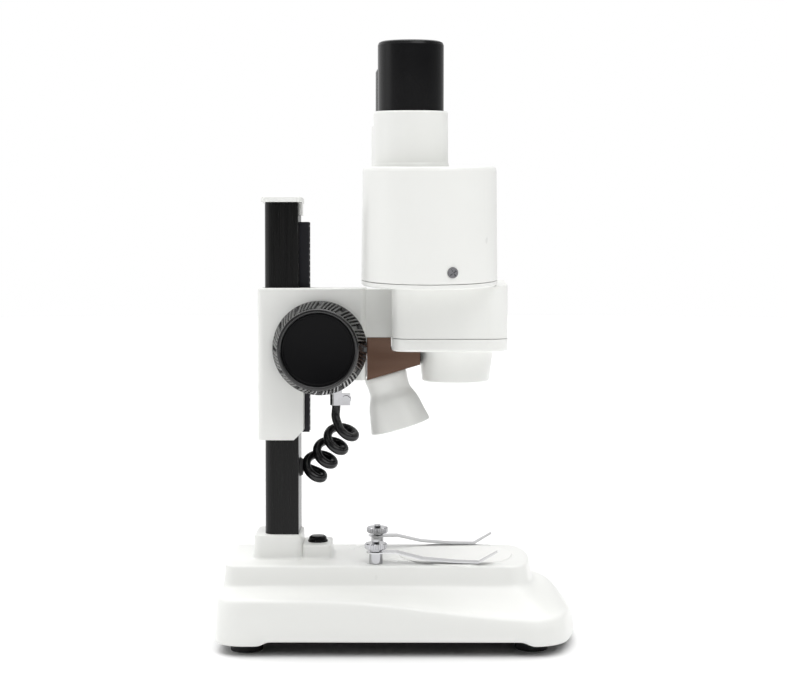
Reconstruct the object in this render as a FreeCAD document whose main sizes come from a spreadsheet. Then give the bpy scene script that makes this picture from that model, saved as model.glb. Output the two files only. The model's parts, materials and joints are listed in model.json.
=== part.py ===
"""Low-power stereo microscope: lit base, rack-and-pinion column, twin eye housings.

Millimetres, +Z up. The origin is on the surface it stands on, below the middle of the base.
+X points from the column to the front of the base, and "left" is the -Y side.
"""
import FreeCAD, Part
import Sketcher
import math
import os

Vector = FreeCAD.Vector
UP = Vector(0, 0, 1)
SIDES = (("left", -1), ("right", 1))

# Driving dimensions: alias, value in mm (angles in degrees).
SIZES = {
    # base
    "base_length": 154.5, "base_width": 82, "skirt_edge": 6.3, "lobe_edge": 4.5,
    "ridge_rear": 24, "ridge_front": 16, "wall_foot": 27, "deck": 35.3,
    "deck_rear": -73.9, "deck_front": 57.6, "deck_width": 50, "shell_wall": 2.4,
    "rear_lobe_end": -55.8, "front_lobe_end": 54.3,
    "foot_radius": 7.3, "foot_height": 4, "rear_foot_x": -64.2, "front_foot_x": 57,
    "rear_foot_y": 26, "front_foot_y": 23.5, "plate_low": 6.5, "plate_thick": 2,
    # column and its collar
    "column_x": -50.6, "column_deep": 14.8, "column_wide": 20.8, "column_top": 190.4,
    "column_foot": 20, "column_wall": 2, "collar_x": -52.2, "collar_deep": 20.8,
    "collar_wide": 23.4, "collar_top": 46, "cap_high": 2.6, "cap_lip": 1.4,
    # switch
    "boss_x": -35.4, "boss_deep": 13, "boss_top": 41.2, "button_radius": 4, "button_top": 43.9,
    "button_travel": 1.5,
    # stage
    "stage_x": 25.35, "stage_radius": 25, "stage_thick": 3, "stage_proud": 0.4,
    "post_x": -9.45, "post_y": 19.4, "post_radius": 2.9, "post_top": 39.8, "blade_thick": 0.5,
    "nut_radius": 4.85, "nut_low": 41.6, "nut_high": 2.5,
    # batteries
    "cell_radius": 7.2, "cell_long": 50, "cell_x": 10, "cell_y": 7.6, "cell_z": 16.4,
    # focus drive
    "knob_x": -33.5, "knob_z": 127.6, "gear_module": 0.8, "gear_teeth": 15, "rack_low": 90,
    "rack_high": 182, "rack_wide": 8, "cheek": 1.2, "backlash": 0.2, "shaft_radius": 3, "bush_radius": 4.6,
    "knob_radius": 20.4, "knob_inner": 17.2, "knob_outer": 34,
    # carriage and arm
    "carriage_rear": -60.5, "carriage_front": -14, "carriage_top": 153.3, "carriage_wide": 31,
    "block_low": 113.5, "sleeve_low": 87.7, "sleeve_front": -40.9, "slide_gap": 0.7,
    "arm_wide": 25, "arm_low": 132, "arm_high": 152.6,
    # optical body
    "body_rear": -2.7, "body_front": 46.3, "body_wide": 70, "body_low": 132.4,
    "body_base_low": 126.9, "body_round": 9, "cone_low": 112.4, "cone_radius": 14.7,
    "objective_radius": 5, "objective_y": 7,
    # eye housings: each is built upright about its own axis, then leant out
    "eye_x": 13.15, "eye_y": 29.2, "eye_z": 155, "eye_lean": 4, "drum_radius": 28.5,
    "drum_high": 49.4, "drum_base": 2, "tube_shift": 9.75, "tube_radius": 15.7, "tube_top": 72.3,
    "screw_bearing": 34.8, "screw_high": 7, "eyepiece_radius": 13.8, "eyepiece_top": 98.7, "left_turn": 37, "right_turn": 0,
    "left_draw": 2.5, "right_draw": 0, "pivot_radius": 4.5, "entry_y": 12,
    # lamp
    "lamp_tilt": 16.5, "lamp_x": -5.3, "lamp_z": 115.6, "lamp_long": 24, "bracket_wide": 24,
    # cord
    "cord_radius": 1.9, "coil_radius": 8.2, "clamp_x": -27.2, "clamp_z": 104,
    "coil_top_x": -24.2, "coil_top_z": 92.4, "coil_low_x": -33.6, "coil_low_z": 70.8,
    "gland_z": 74.2,
}

doc = FreeCAD.newDocument("microscope")
sheet = doc.addObject("Spreadsheet::Sheet", "dim")
for row, (alias, number) in enumerate(SIZES.items(), start=1):
    sheet.set(f"A{row}", alias)
    sheet.set(f"B{row}", str(number))
    sheet.setAlias(f"B{row}", alias)
doc.recompute()
nodes = []


def size(alias):
    """The number in the sheet's cell of that name."""
    return float(sheet.get(alias))


# ---------------------------------------------------------------- document helpers
def node(feature, label):
    """Names a finished sub-part and puts it on the list of files to write."""
    feature.Label = label
    nodes.append(feature)
    return feature


def place(feature, at, turn=None):
    """Places a feature at three expressions, after an optional (axis, degrees) turn."""
    if turn:
        axis, degrees = turn
        feature.Placement = FreeCAD.Placement(Vector(), FreeCAD.Rotation(Vector(*axis), degrees))
    for letter, expression in zip("xyz", at):
        feature.setExpression("Placement.Base." + letter, expression)
    return feature


def primitive(kind, name, at=None, turn=None, **sizes):
    """A Part primitive whose sizes, and place if it has one here, follow the sheet."""
    solid = doc.addObject("Part::" + kind, name)
    for prop, expression in sizes.items():
        solid.setExpression(prop, expression)
    return place(solid, at, turn) if at else solid


def block(name, low, high):
    """A Part::Box between two corners given as expressions."""
    spans = [f"({b}) - ({a})" for a, b in zip(low, high)]
    return primitive("Box", name, low, Length=spans[0], Width=spans[1], Height=spans[2])


def cylinder(name, at, radius, height, turn=None):
    return primitive("Cylinder", name, at, turn, Radius=radius, Height=height)


def cut(name, base, *tools):
    result = doc.addObject("Part::Cut", name)
    result.Base = base
    result.Tool = tools[0] if len(tools) == 1 else fuse(name + "_tools", *tools)
    return result


def fuse(name, *parts):
    result = doc.addObject("Part::MultiFuse", name)
    result.Shapes = list(parts)
    return result


def group(name, *parts):
    """Several equal pieces that share one node."""
    result = doc.addObject("Part::Compound", name)
    result.Links = list(parts)
    return result


def shape_feature(name, shape):
    """A piece whose form is worked out with Part's own functions."""
    feature = doc.addObject("Part::Feature", name)
    feature.Shape = shape
    return feature


def sketch(body, role, height="0"):
    """A sketch on one of the body's own origin planes, moved out by an expression."""
    result = body.newObject("Sketcher::SketchObject", body.Name + "_sketch")
    plane = next(f for f in body.Origin.OriginFeatures if f.Role == role)
    result.AttachmentSupport = (plane, [""])
    result.MapMode = "FlatFace"
    result.setExpression("AttachmentOffset.Base.z", height)
    return result


def dimension(outline, kind, *geometry, to):
    """A sketch constraint bound to an expression."""
    index = outline.addConstraint(Sketcher.Constraint(kind, *geometry, 1.0))
    outline.setExpression(f"Constraints[{index}]", to)


def polygon(outline, corners):
    """A closed outline through corners given as pairs of expressions."""
    first = outline.GeometryCount
    count = len(corners)
    guess = [Vector(math.cos(2 * math.pi * i / count), math.sin(2 * math.pi * i / count), 0)
             for i in range(count)]
    for i in range(count):
        outline.addGeometry(Part.LineSegment(guess[i], guess[(i + 1) % count]), False)
    for i in range(count):
        joint = (first + i, 2, first + (i + 1) % count, 1)
        outline.addConstraint(Sketcher.Constraint("Coincident", *joint))
        for kind, expression in zip(("DistanceX", "DistanceY"), corners[i]):
            dimension(outline, kind, -1, 1, first + i, 1, to=expression)


def circle(outline, centre, radius):
    """A circle at two expressions."""
    index = outline.addGeometry(Part.Circle(Vector(1, 1, 0), UP, 1), False)
    for kind, expression in zip(("DistanceX", "DistanceY"), centre):
        dimension(outline, kind, -1, 1, index, 3, to=expression)
    dimension(outline, "Radius", index, to=radius)


def rectangle(outline, low, high):
    polygon(outline, [(low[0], low[1]), (high[0], low[1]), (high[0], high[1]), (low[0], high[1])])


def pad(body, outline, length, taper="0", back=False):
    """Pads a sketch; back sends it against the plane's normal."""
    feature = body.newObject("PartDesign::Pad", body.Name + "_pad")
    feature.Profile = outline
    feature.Reversed = back
    feature.setExpression("Length", length)
    feature.setExpression("TaperAngle", taper)
    return feature


def pocket(body, outline, length, back=False):
    """Cuts a sketch into the body, and checks that it took something away."""
    doc.recompute()
    before = body.Shape.Volume
    feature = body.newObject("PartDesign::Pocket", body.Name + "_pocket")
    feature.Profile = outline
    feature.Reversed = back
    feature.setExpression("Length", length)
    doc.recompute()
    assert body.Shape.Volume < before, body.Name
    return feature


def revolve(body, outline, axis="V_Axis"):
    """Turns a profile a whole turn about a sketch axis."""
    feature = body.newObject("PartDesign::Revolution", body.Name + "_turned")
    feature.Profile = outline
    feature.ReferenceAxis = (outline, [axis])
    feature.Angle = 360
    return feature


def soften(body, radius, wanted, kind="Fillet"):
    """Fillets or chamfers the edges that the test picks out."""
    doc.recompute()
    base = body.Tip
    names = [f"Edge{i}" for i, edge in enumerate(base.Shape.Edges, start=1) if wanted(edge)]
    assert names, body.Name
    feature = body.newObject("PartDesign::" + kind, body.Name + "_" + kind.lower())
    feature.Base = (base, names)
    feature.setExpression("Radius" if kind == "Fillet" else "Size", radius)
    return feature


def upright(edge):
    """True for a straight edge along Z."""
    ends = [v.Point for v in edge.Vertexes]
    return len(ends) == 2 and abs((ends[1] - ends[0]).normalize().z) > 0.99


def at_height(height):
    """A test for edges that lie flat at one height."""
    return lambda edge: max(abs(edge.BoundBox.ZMin - height), abs(edge.BoundBox.ZMax - height)) < 0.01


def turned(name, profile):
    """A body turned about Z from (radius, height) expressions."""
    body = doc.addObject("PartDesign::Body", name)
    outline = sketch(body, "XZ_Plane")
    polygon(outline, profile)
    revolve(body, outline)
    return body


def plate(name, low, high, bottom, thickness, corner=None):
    """A body padded up from a rectangle, with its upright corners rounded."""
    body = doc.addObject("PartDesign::Body", name)
    outline = sketch(body, "XY_Plane", bottom)
    rectangle(outline, low, high)
    pad(body, outline, thickness)
    if corner:
        soften(body, corner, upright)
    return body


# ---------------------------------------------------------------- base shell
def half_outline(rear, front, half_width, rear_round, front_round, front_angle):
    """Half of a plan outline, from the middle of the rear to the middle of the front.

    A straight rear and side are joined by an arc; a second arc runs to front_angle, and a
    parabola that leaves it smoothly closes the front.
    """
    nose_y = half_width - front_round + front_round * math.sin(front_angle)
    bulge = math.tan(front_angle) * nose_y / 2
    arc_x = front - bulge - front_round * math.cos(front_angle)
    points = [(rear, (half_width - rear_round) * step / 3) for step in range(3)]
    for step in range(6):
        angle = math.pi - math.pi / 2 * step / 5
        points.append((rear + rear_round * (1 + math.cos(angle)),
                       half_width - rear_round + rear_round * math.sin(angle)))
    for step in range(1, 12):
        share = step / 12
        points.append(((rear + rear_round) * (1 - share) + arc_x * share, half_width))
    for step in range(7):
        angle = math.pi / 2 + (front_angle - math.pi / 2) * step / 6
        points.append((arc_x + front_round * math.cos(angle),
                       half_width - front_round + front_round * math.sin(angle)))
    for step in range(1, 5):
        y = nose_y * (1 - step / 4)
        points.append((front - bulge * (y / nose_y) ** 2, y))
    return points


def mirrored(half):
    """The whole closed outline from its half, without doubled end points."""
    return half + [(x, -y) for x, y in reversed(half[1:-1])]


def base_levels(inset):
    """Closed curves of the base from its lower edge to its deck, drawn in by a wall's thickness."""
    half_long, half_wide = size("base_length") / 2, size("base_width") / 2
    deck_half = size("deck_width") / 2

    def skirt(draw):
        draw += inset
        return half_outline(-half_long + draw * 0.6 + inset * 0.4, half_long - draw, half_wide - draw,
                            12, 16, math.radians(20))

    def deck(grow):
        grow -= inset
        return half_outline(size("deck_rear") - grow * 0.5, size("deck_front") + grow,
                            deck_half + grow, 4.5, 9, math.radians(14))

    def ridge(x):
        share = min(max((x + 35) / 100, 0), 1)
        smooth = share * share * (3 - 2 * share)
        return size("ridge_rear") + (size("ridge_front") - size("ridge_rear")) * smooth - inset

    def blend(outer, inner, share):
        return [(a[0] * (1 - share) + b[0] * share, a[1] * (1 - share) + b[1] * share)
                for a, b in zip(outer, inner)]

    foot = size("wall_foot") - inset
    deck_top = size("deck") - inset
    levels = [
        (skirt(0.2), lambda x: size("lobe_edge")),
        (skirt(0), lambda x: size("skirt_edge") + 2),
        (skirt(1.2), lambda x: ridge(x) - 3.2),
        (skirt(2.0), lambda x: ridge(x) - 1.2),
        (skirt(3.4), lambda x: ridge(x)),
        (blend(skirt(3.4), deck(2.2), 0.35), lambda x: ridge(x) * 0.75 + foot * 0.25),
        (blend(skirt(3.4), deck(2.2), 0.7), lambda x: ridge(x) * 0.4 + foot * 0.6 - 0.6),
        (deck(1.7), lambda x: foot - 0.9),
        (deck(1.2), lambda x: foot + 0.6),
        (deck(0.1), lambda x: deck_top - 1.2),
        (deck(-1.0), lambda x: deck_top),
    ]
    return [[Vector(x, y, height(x)) for x, y in mirrored(half)] for half, height in levels]


def lofted(levels):
    """A solid ruled between closed smooth curves."""
    wires = []
    for points in levels:
        curve = Part.BSplineCurve()
        curve.interpolate(Points=points, PeriodicFlag=True)
        wires.append(Part.Wire(curve.toShape()))
    return Part.makeLoft(wires, True, True)


def solid_block(low, high):
    return Part.makeBox(high[0] - low[0], high[1] - low[1], high[2] - low[2], Vector(*low))


def rounded_block(low, high, radius):
    """A box with its four upright edges rounded."""
    box = solid_block(low, high)
    return box.makeFillet(radius, [e for e in box.Edges if upright(e)])


def foot_places():
    """The four feet's centres."""
    return [(size(end + "_foot_x"), sign * size(end + "_foot_y"))
            for end in ("rear", "front") for sign in (-1, 1)]


def plate_screw_places():
    """Screws that hold the base plate, beside the battery cover."""
    return [(x, sign * 30) for x in (-38, 38) for sign in (-1, 1)]


def base_shell():
    shell = lofted(base_levels(0)).cut(lofted(base_levels(size("shell_wall"))))
    edge = size("lobe_edge")
    half_wide = size("base_width")
    # Between the corner lobes the skirt's lower edge is higher, with sloping shoulders.
    gap = [(size("rear_lobe_end") - 1.5, edge - 1), (size("rear_lobe_end"), size("skirt_edge")),
           (size("front_lobe_end"), size("skirt_edge")), (size("front_lobe_end") + 1.5, edge - 1)]
    wire = Part.makePolygon([Vector(x, -half_wide, z) for x, z in gap + gap[:1]])
    shell = shell.cut(Part.Face(wire).extrude(Vector(0, 2 * half_wide, 0)))
    # Collar and the block under it that carries the column.
    deep, wide, x = size("collar_deep") / 2, size("collar_wide") / 2, size("collar_x")
    foot = size("column_foot")
    collar = rounded_block((x - deep, -wide, foot - 6), (x + deep, wide, size("collar_top")), 3.5)
    collar = collar.makeFillet(0.8, [e for e in collar.Edges if at_height(size("collar_top"))(e)])
    boss_x, boss_deep = size("boss_x"), size("boss_deep") / 2
    boss = rounded_block((boss_x - boss_deep, -wide + 1, size("deck") - 2),
                         (boss_x + boss_deep, wide - 1, size("boss_top")), 1.6)
    boss = boss.makeFillet(0.6, [e for e in boss.Edges if at_height(size("boss_top"))(e)])
    pillars = [Part.makeCylinder(3.6, 16, Vector(px, py, size("plate_low") + size("plate_thick")))
               .common(lofted(base_levels(0.4))) for px, py in plate_screw_places()]
    shell = shell.fuse([collar, boss] + pillars)
    # Column socket, bolt holes, cable hole.
    col_x, col_deep, col_wide = size("column_x"), size("column_deep") / 2, size("column_wide") / 2
    socket = solid_block((col_x - col_deep, -col_wide, foot), (col_x + col_deep, col_wide, 60))
    tools = [socket.makeFillet(2.5, [e for e in socket.Edges if upright(e)])]
    tools += [Part.makeCylinder(2, 8, Vector(col_x, sign * 5.2, foot - 7)) for sign in (-1, 1)]
    tools.append(Part.makeCylinder(2.2, 8, Vector(col_x + 3.4, 0, foot - 7)))
    # Switch hole, stage recess, clip post holes, plate screw holes.
    tools.append(Part.makeCylinder(size("button_radius") + 0.7, 12, Vector(boss_x, 0, 32)))
    recess = size("deck") + size("stage_proud") - size("stage_thick")
    tools.append(Part.makeCylinder(size("stage_radius") + 0.15, 5, Vector(size("stage_x"), 0, recess)))
    tools += [Part.makeCylinder(1.5, 6, Vector(size("post_x"), sign * size("post_y"), 32))
              for sign in (-1, 1)]
    tools += [Part.makeCylinder(1.1, 8.4, Vector(px, py, size("plate_low"))) for px, py in
              plate_screw_places()]
    # A shelf under the stage plate keeps the deck closed where the recess is cut.
    shelf = Part.makeCylinder(size("stage_radius") + 2.2, 4.4,
                              Vector(size("stage_x"), 0, recess - 2.0))
    shelf = shelf.common(lofted(base_levels(0.3)))
    return shell.fuse(shelf).cut(tools).removeSplitter()


def base_plate():
    """The flat plate that closes the base, with round pads for the feet."""
    half_long, half_wide = size("base_length") / 2, size("base_width") / 2
    low, thick, inset = size("plate_low"), size("plate_thick"), size("shell_wall") + 1.1
    outline = mirrored(half_outline(-half_long + inset, half_long - inset, half_wide - inset,
                                    10, 14, math.radians(20)))
    curve = Part.BSplineCurve()
    curve.interpolate(Points=[Vector(x, y, low) for x, y in outline], PeriodicFlag=True)
    shape = Part.Face(Part.Wire(curve.toShape())).extrude(Vector(0, 0, thick))
    pads = [Part.makeCylinder(size("foot_radius") + 0.5, low - size("foot_height"),
                              Vector(x, y, size("foot_height"))) for x, y in foot_places()]
    holes = [Part.makeCylinder(1.3, 6, Vector(px, py, low - 1)) for px, py in plate_screw_places()]
    holes.append(solid_block((-17, -15.2, low - 1), (37, 15.2, low + 4)))
    # Rails with inner lips carry the sliding battery cover.
    rails = [solid_block((-21, sign * 17.4 - 0.9, low - 3), (41, sign * 17.4 + 0.9, low))
             for sign in (-1, 1)]
    rails += [solid_block((-21, sign * 16.2 - 1, low - 3), (41, sign * 16.2 + 1, low - 2.25))
              for sign in (-1, 1)]
    return shape.fuse(pads + rails).cut(holes).removeSplitter()


def build_base():
    node(shape_feature("BaseShell", base_shell()), "base_shell")
    node(shape_feature("BasePlate", base_plate()), "base_plate")
    feet = []
    for index, (x, y) in enumerate(foot_places()):
        foot = primitive("Cone", f"Foot{index}", (str(x), str(y), "0"), Radius1="dim.foot_radius - 0.5",
                         Radius2="dim.foot_radius", Height="dim.foot_height")
        feet.append(foot)
    node(group("Feet", *feet), "rubber_feet")
    screws = []
    for index, (x, y) in enumerate(plate_screw_places()):
        head = cylinder(f"PlateHead{index}", (str(x), str(y), "dim.plate_low - 1.6"), "2.4", "1.6")
        shank = cylinder(f"PlateShank{index}", (str(x), str(y), "dim.plate_low - 0.8"), "1.1", "9")
        slot = block(f"PlateSlot{index}", (f"{x - 1.8}", f"{y - 0.3}", "dim.plate_low - 1.8"),
                     (f"{x + 1.8}", f"{y + 0.3}", "dim.plate_low - 1"))
        screws.append(cut(f"PlateScrew{index}", fuse(f"PlateBlank{index}", head, shank), slot))
    node(group("PlateScrews", *screws), "base_plate_screws")
    cover = plate("BatteryCover", ("-20", "-16.2"), ("40", "16.2"), "dim.plate_low - 2", "1.6", "2")
    outline = sketch(cover, "XY_Plane", "dim.plate_low - 2")
    for rib in range(4):
        rectangle(outline, (f"{30 + 2 * rib}", "-8"), (f"{30.8 + 2 * rib}", "8"))
    pocket(cover, outline, "0.6", back=True)
    node(cover, "battery_cover")


def build_batteries():
    """Two cells in a tray, with sheet contacts at their ends."""
    low = "dim.plate_low + dim.plate_thick"
    tray = doc.addObject("PartDesign::Body", "BatteryTray")
    outline = sketch(tray, "XY_Plane", low)
    rectangle(outline, ("dim.cell_x - dim.cell_long / 2 - 4.5", "-17"),
              ("dim.cell_x + dim.cell_long / 2 + 4.5", "17"))
    pad(tray, outline, "17.5")
    cavity = sketch(tray, "XY_Plane", low)
    rectangle(cavity, ("dim.cell_x - dim.cell_long / 2 - 3", "-15.4"),
              ("dim.cell_x + dim.cell_long / 2 + 3", "15.4"))
    pocket(tray, cavity, "16", back=True)
    node(tray, "battery_tray")
    cells = []
    for index, sign in enumerate((-1, 1)):
        start = "dim.cell_x - dim.cell_long / 2"
        can = cylinder(f"Can{index}", (start, f"{sign} * dim.cell_y", "dim.cell_z"),
                       "dim.cell_radius", "dim.cell_long - 1.2", ((0, 1, 0), 90))
        tip_at = "dim.cell_x + dim.cell_long / 2 - 1.2" if sign > 0 else start + " - 1.2"
        tip = cylinder(f"Tip{index}", (tip_at, f"{sign} * dim.cell_y", "dim.cell_z"), "2.6", "1.2",
                       ((0, 1, 0), 90))
        cells.append(fuse(f"Cell{index}", can, tip))
    node(group("Cells", *cells), "battery_cells")
    contacts = []
    for index, sign in enumerate((-1, 1)):
        for end, x in (("Front", "dim.cell_x + dim.cell_long / 2 + 2.4"),
                       ("Rear", "dim.cell_x - dim.cell_long / 2 - 2.9")):
            contacts.append(block(f"Contact{end}{index}", (x, f"{sign} * dim.cell_y - 5", "11"),
                                  (x + " + 0.4", f"{sign} * dim.cell_y + 5", "22")))
    node(group("Contacts", *contacts), "battery_contacts")


def build_switch():
    """Push switch under its boss: body, sprung button, driver board beside it."""
    body = plate("SwitchBody", ("dim.boss_x - 5.2", "-5.2"), ("dim.boss_x + 5.2", "5.2"), "21",
                 "dim.deck - dim.shell_wall - 21", "0.6")
    well = sketch(body, "XY_Plane", "dim.deck - dim.shell_wall")
    circle(well, ("dim.boss_x", "0"), "2.6")
    pocket(body, well, "dim.deck - dim.shell_wall - 27")
    node(body, "switch_body")
    button = turned("SwitchButton", [
        ("0", "30.4"), ("2.2", "30.4"), ("2.2", "38.6"), ("dim.button_radius + 0.4", "38.6"),
        ("dim.button_radius + 0.4", "dim.boss_top + 0.5"),
        ("dim.button_radius", "dim.boss_top + 0.9"),
        ("dim.button_radius - 0.25", "dim.button_top - 0.7"),
        ("dim.button_radius - 0.9", "dim.button_top - 0.15"), ("0", "dim.button_top")])
    place(button, ("dim.boss_x", "0", "0"))
    node(button, "switch_button")
    turns = 4
    helix = Part.makeHelix((30.1 - 27.4) / turns, 30.1 - 27.4, 1.6)
    ring = Part.Wire(Part.makeCircle(0.22, Vector(1.6, 0, 0), Vector(0, 1, 0)))
    spring = Part.Wire(helix.Edges).makePipeShell([ring], True, True)
    feature = shape_feature("SwitchSpring", spring)
    feature.Placement.Base = Vector(size("boss_x"), 0, 27.3)
    node(feature, "switch_spring")
    board = plate("Board", ("-25.6", "-12"), ("-24", "12"), "dim.plate_low + dim.plate_thick", "15")
    node(board, "driver_board")


def build_stage():
    """Stage plate, clip posts, spring clips and their knurled nuts."""
    disc = turned("StagePlate", [
        ("0", "0"), ("dim.stage_radius", "0"), ("dim.stage_radius", "dim.stage_thick - 0.4"),
        ("dim.stage_radius - 0.4", "dim.stage_thick"), ("0", "dim.stage_thick")])
    place(disc, ("dim.stage_x", "0", "dim.deck + dim.stage_proud - dim.stage_thick"))
    node(disc, "stage_plate")
    posts = []
    for name, sign in SIDES:
        at = ("dim.post_x", f"{sign} * dim.post_y", "0")
        post = turned(f"Post_{name}", [
            ("0", "32.6"), ("1.5", "32.6"), ("1.5", "dim.deck"), ("dim.post_radius", "dim.deck"),
            ("dim.post_radius", "dim.post_top"), ("1.5", "dim.post_top"), ("1.5", "45.2"),
            ("0", "45.2")])
        posts.append(place(post, at))
        node(clip_blade(name, sign), f"stage_clip_{name}")
        node(place(knurled_nut(name), at), f"clip_nut_{name}")
    node(group("Posts", *posts), "clip_posts")


def clip_blade(name, sign):
    """A flat spring: ring round the post, dip to the stage and an upturned tip."""
    thick = size("blade_thick")
    rest = size("post_top") + 0.15
    touch = size("deck") + size("stage_proud") + 0.35
    path = [(0, rest), (9, rest), (20, touch + 1.3), (34, touch + 0.2), (44, touch), (52, touch + 4.6)]
    top = [Vector(x, 0, z + thick) for x, z in path]
    low = [Vector(x, 0, z) for x, z in reversed(path)]
    side = Part.Face(Part.makePolygon(top + low + top[:1]))
    half = 3.1
    strip = side.extrude(Vector(0, 2 * half, 0))
    strip.translate(Vector(0, -half, 0))
    # Seen from above the strip narrows towards its tip.
    plan = [(0, half), (8, half), (44, 2.3), (52.2, 1.5), (52.2, -1.5), (44, -2.3), (8, -half), (0, -half)]
    outline = Part.makePolygon([Vector(x, y, 30) for x, y in plan + plan[:1]])
    strip = strip.common(Part.Face(outline).extrude(Vector(0, 0, 30)))
    ring = Part.makeCylinder(4.1, thick, Vector(0, 0, rest))
    hole = Part.makeCylinder(1.56, 5, Vector(0, 0, rest - 2))
    feature = shape_feature(f"Clip_{name}", strip.fuse(ring).cut(hole).removeSplitter())
    feature.Placement = FreeCAD.Placement(
        Vector(size("post_x"), sign * size("post_y"), 0), FreeCAD.Rotation(UP, sign * 3))
    return feature


def knurled_nut(name):
    """Round nut with a ring of grooves and a plain neck below."""
    body = turned(f"Nut_{name}", [
        ("1.56", "40.75"), ("2.7", "40.75"), ("2.7", "dim.nut_low"),
        ("dim.nut_radius - 0.4", "dim.nut_low"), ("dim.nut_radius", "dim.nut_low + 0.4"),
        ("dim.nut_radius", "dim.nut_low + dim.nut_high - 0.4"),
        ("dim.nut_radius - 0.4", "dim.nut_low + dim.nut_high"),
        ("1.56", "dim.nut_low + dim.nut_high")])
    groove = sketch(body, "XY_Plane", "dim.nut_low + dim.nut_high")
    circle(groove, ("dim.nut_radius + 0.18", "0"), "0.42")
    cutter = pocket(body, groove, "dim.nut_high")
    pattern = body.newObject("PartDesign::PolarPattern", body.Name + "_knurl")
    pattern.Originals = [cutter]
    pattern.Axis = (groove, ["N_Axis"])
    pattern.Angle = 360
    pattern.Occurrences = 30
    body.Tip = pattern
    return body


# ---------------------------------------------------------------- column
def build_column():
    deep, wide = "dim.column_deep / 2", "dim.column_wide / 2"
    body = doc.addObject("PartDesign::Body", "Column")
    outline = sketch(body, "XY_Plane", "dim.column_foot")
    rectangle(outline, (f"dim.column_x - {deep}", f"-{wide}"), (f"dim.column_x + {deep}", wide))
    pad(body, outline, "dim.column_top - dim.column_foot")
    soften(body, "2.5", upright)
    hollow = sketch(body, "XY_Plane", "dim.column_foot")
    wall = "dim.column_wall"
    rectangle(hollow, (f"dim.column_x - {deep} + {wall}", f"-{wide} + {wall}"),
              (f"dim.column_x + {deep} - {wall}", f"{wide} - {wall}"))
    pocket(body, hollow, "dim.column_top - dim.column_foot", back=True)
    ports = sketch(body, "XY_Plane", "dim.column_foot")
    for y in ("-5.2", "5.2"):
        rectangle(ports, (f"dim.column_x - {deep} + 1", f"{y} - 3"),
                  (f"dim.column_x + 3", f"{y} + 3"))
    pad(body, ports, "dim.column_top - dim.column_foot")
    bores = sketch(body, "XY_Plane", "dim.column_foot")
    for y in ("-5.2", "5.2"):
        circle(bores, ("dim.column_x", y), "2")
    pocket(body, bores, "14", back=True)
    gland = sketch(body, "YZ_Plane", f"dim.column_x + {deep}")
    circle(gland, ("0", "dim.gland_z"), "3")
    pocket(body, gland, "dim.column_wall + 1")
    for z in ("dim.rack_low + 5", "dim.rack_high - 5"):
        tap = sketch(body, "YZ_Plane", f"dim.column_x + {deep}")
        circle(tap, ("0", z), "1")
        pocket(body, tap, "dim.column_wall")
    node(body, "column")
    bolts = []
    for index, y in enumerate(("-5.2", "5.2")):
        head = cylinder(f"BoltHead{index}", ("dim.column_x", y, "dim.column_foot - 9.2"), "3.6", "3.2")
        shank = cylinder(f"BoltShank{index}", ("dim.column_x", y, "dim.column_foot - 6.5"), "2", "16")
        key = primitive("Prism", f"BoltKey{index}", ("dim.column_x", y, "dim.column_foot - 9.4"),
                        Circumradius="1.7", Height="1.8")
        key.Polygon = 6
        bolts.append(cut(f"Bolt{index}", fuse(f"BoltBlank{index}", head, shank), key))
    node(group("Bolts", *bolts), "column_bolts")
    cap = plate("Cap", (f"dim.column_x - {deep} - dim.cap_lip", f"-{wide} - dim.cap_lip"),
                (f"dim.column_x + {deep} + dim.cap_lip", f"{wide} + dim.cap_lip"),
                "dim.column_top", "dim.cap_high", "3.4")
    soften(cap, "0.9", at_height(size("column_top") + size("cap_high")))
    plug = sketch(cap, "XY_Plane", "dim.column_top")
    rectangle(plug, (f"dim.column_x + 3.2", f"-{wide} + {wall} + 0.1"),
              (f"dim.column_x + {deep} - {wall} - 0.1", f"{wide} - {wall} - 0.1"))
    pad(cap, plug, "7", back=True)
    tab = sketch(cap, "XY_Plane", "dim.column_top")
    rectangle(tab, (f"dim.column_x + {deep} + 0.1", "-3.4"), (f"dim.column_x + {deep} + 1.3", "3.4"))
    pad(cap, tab, "5.5", back=True)
    node(cap, "column_cap")
    gland_body = turned("Gland", [
        ("dim.cord_radius", "-2"), ("3", "-2"), ("3", "0.05"), ("4.2", "0.05"), ("3.6", "1.2"),
        ("dim.cord_radius", "1.6")])
    place(gland_body, (f"dim.column_x + {deep}", "0", "dim.gland_z"), ((0, 1, 0), 90))
    node(gland_body, "cord_gland")


def tooth_half_width(module, teeth, backlash, radius):
    """Half angle of an involute tooth at a radius, for a 20 degree pressure angle."""
    pressure = math.radians(20)
    pitch_radius = module * teeth / 2
    base = pitch_radius * math.cos(pressure)
    at_pitch = (math.pi * module / 2 - backlash) / 2 / pitch_radius
    if radius <= base:
        radius = base
    angle = math.acos(base / radius)
    return at_pitch + (math.tan(pressure) - pressure) - (math.tan(angle) - angle)


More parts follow.
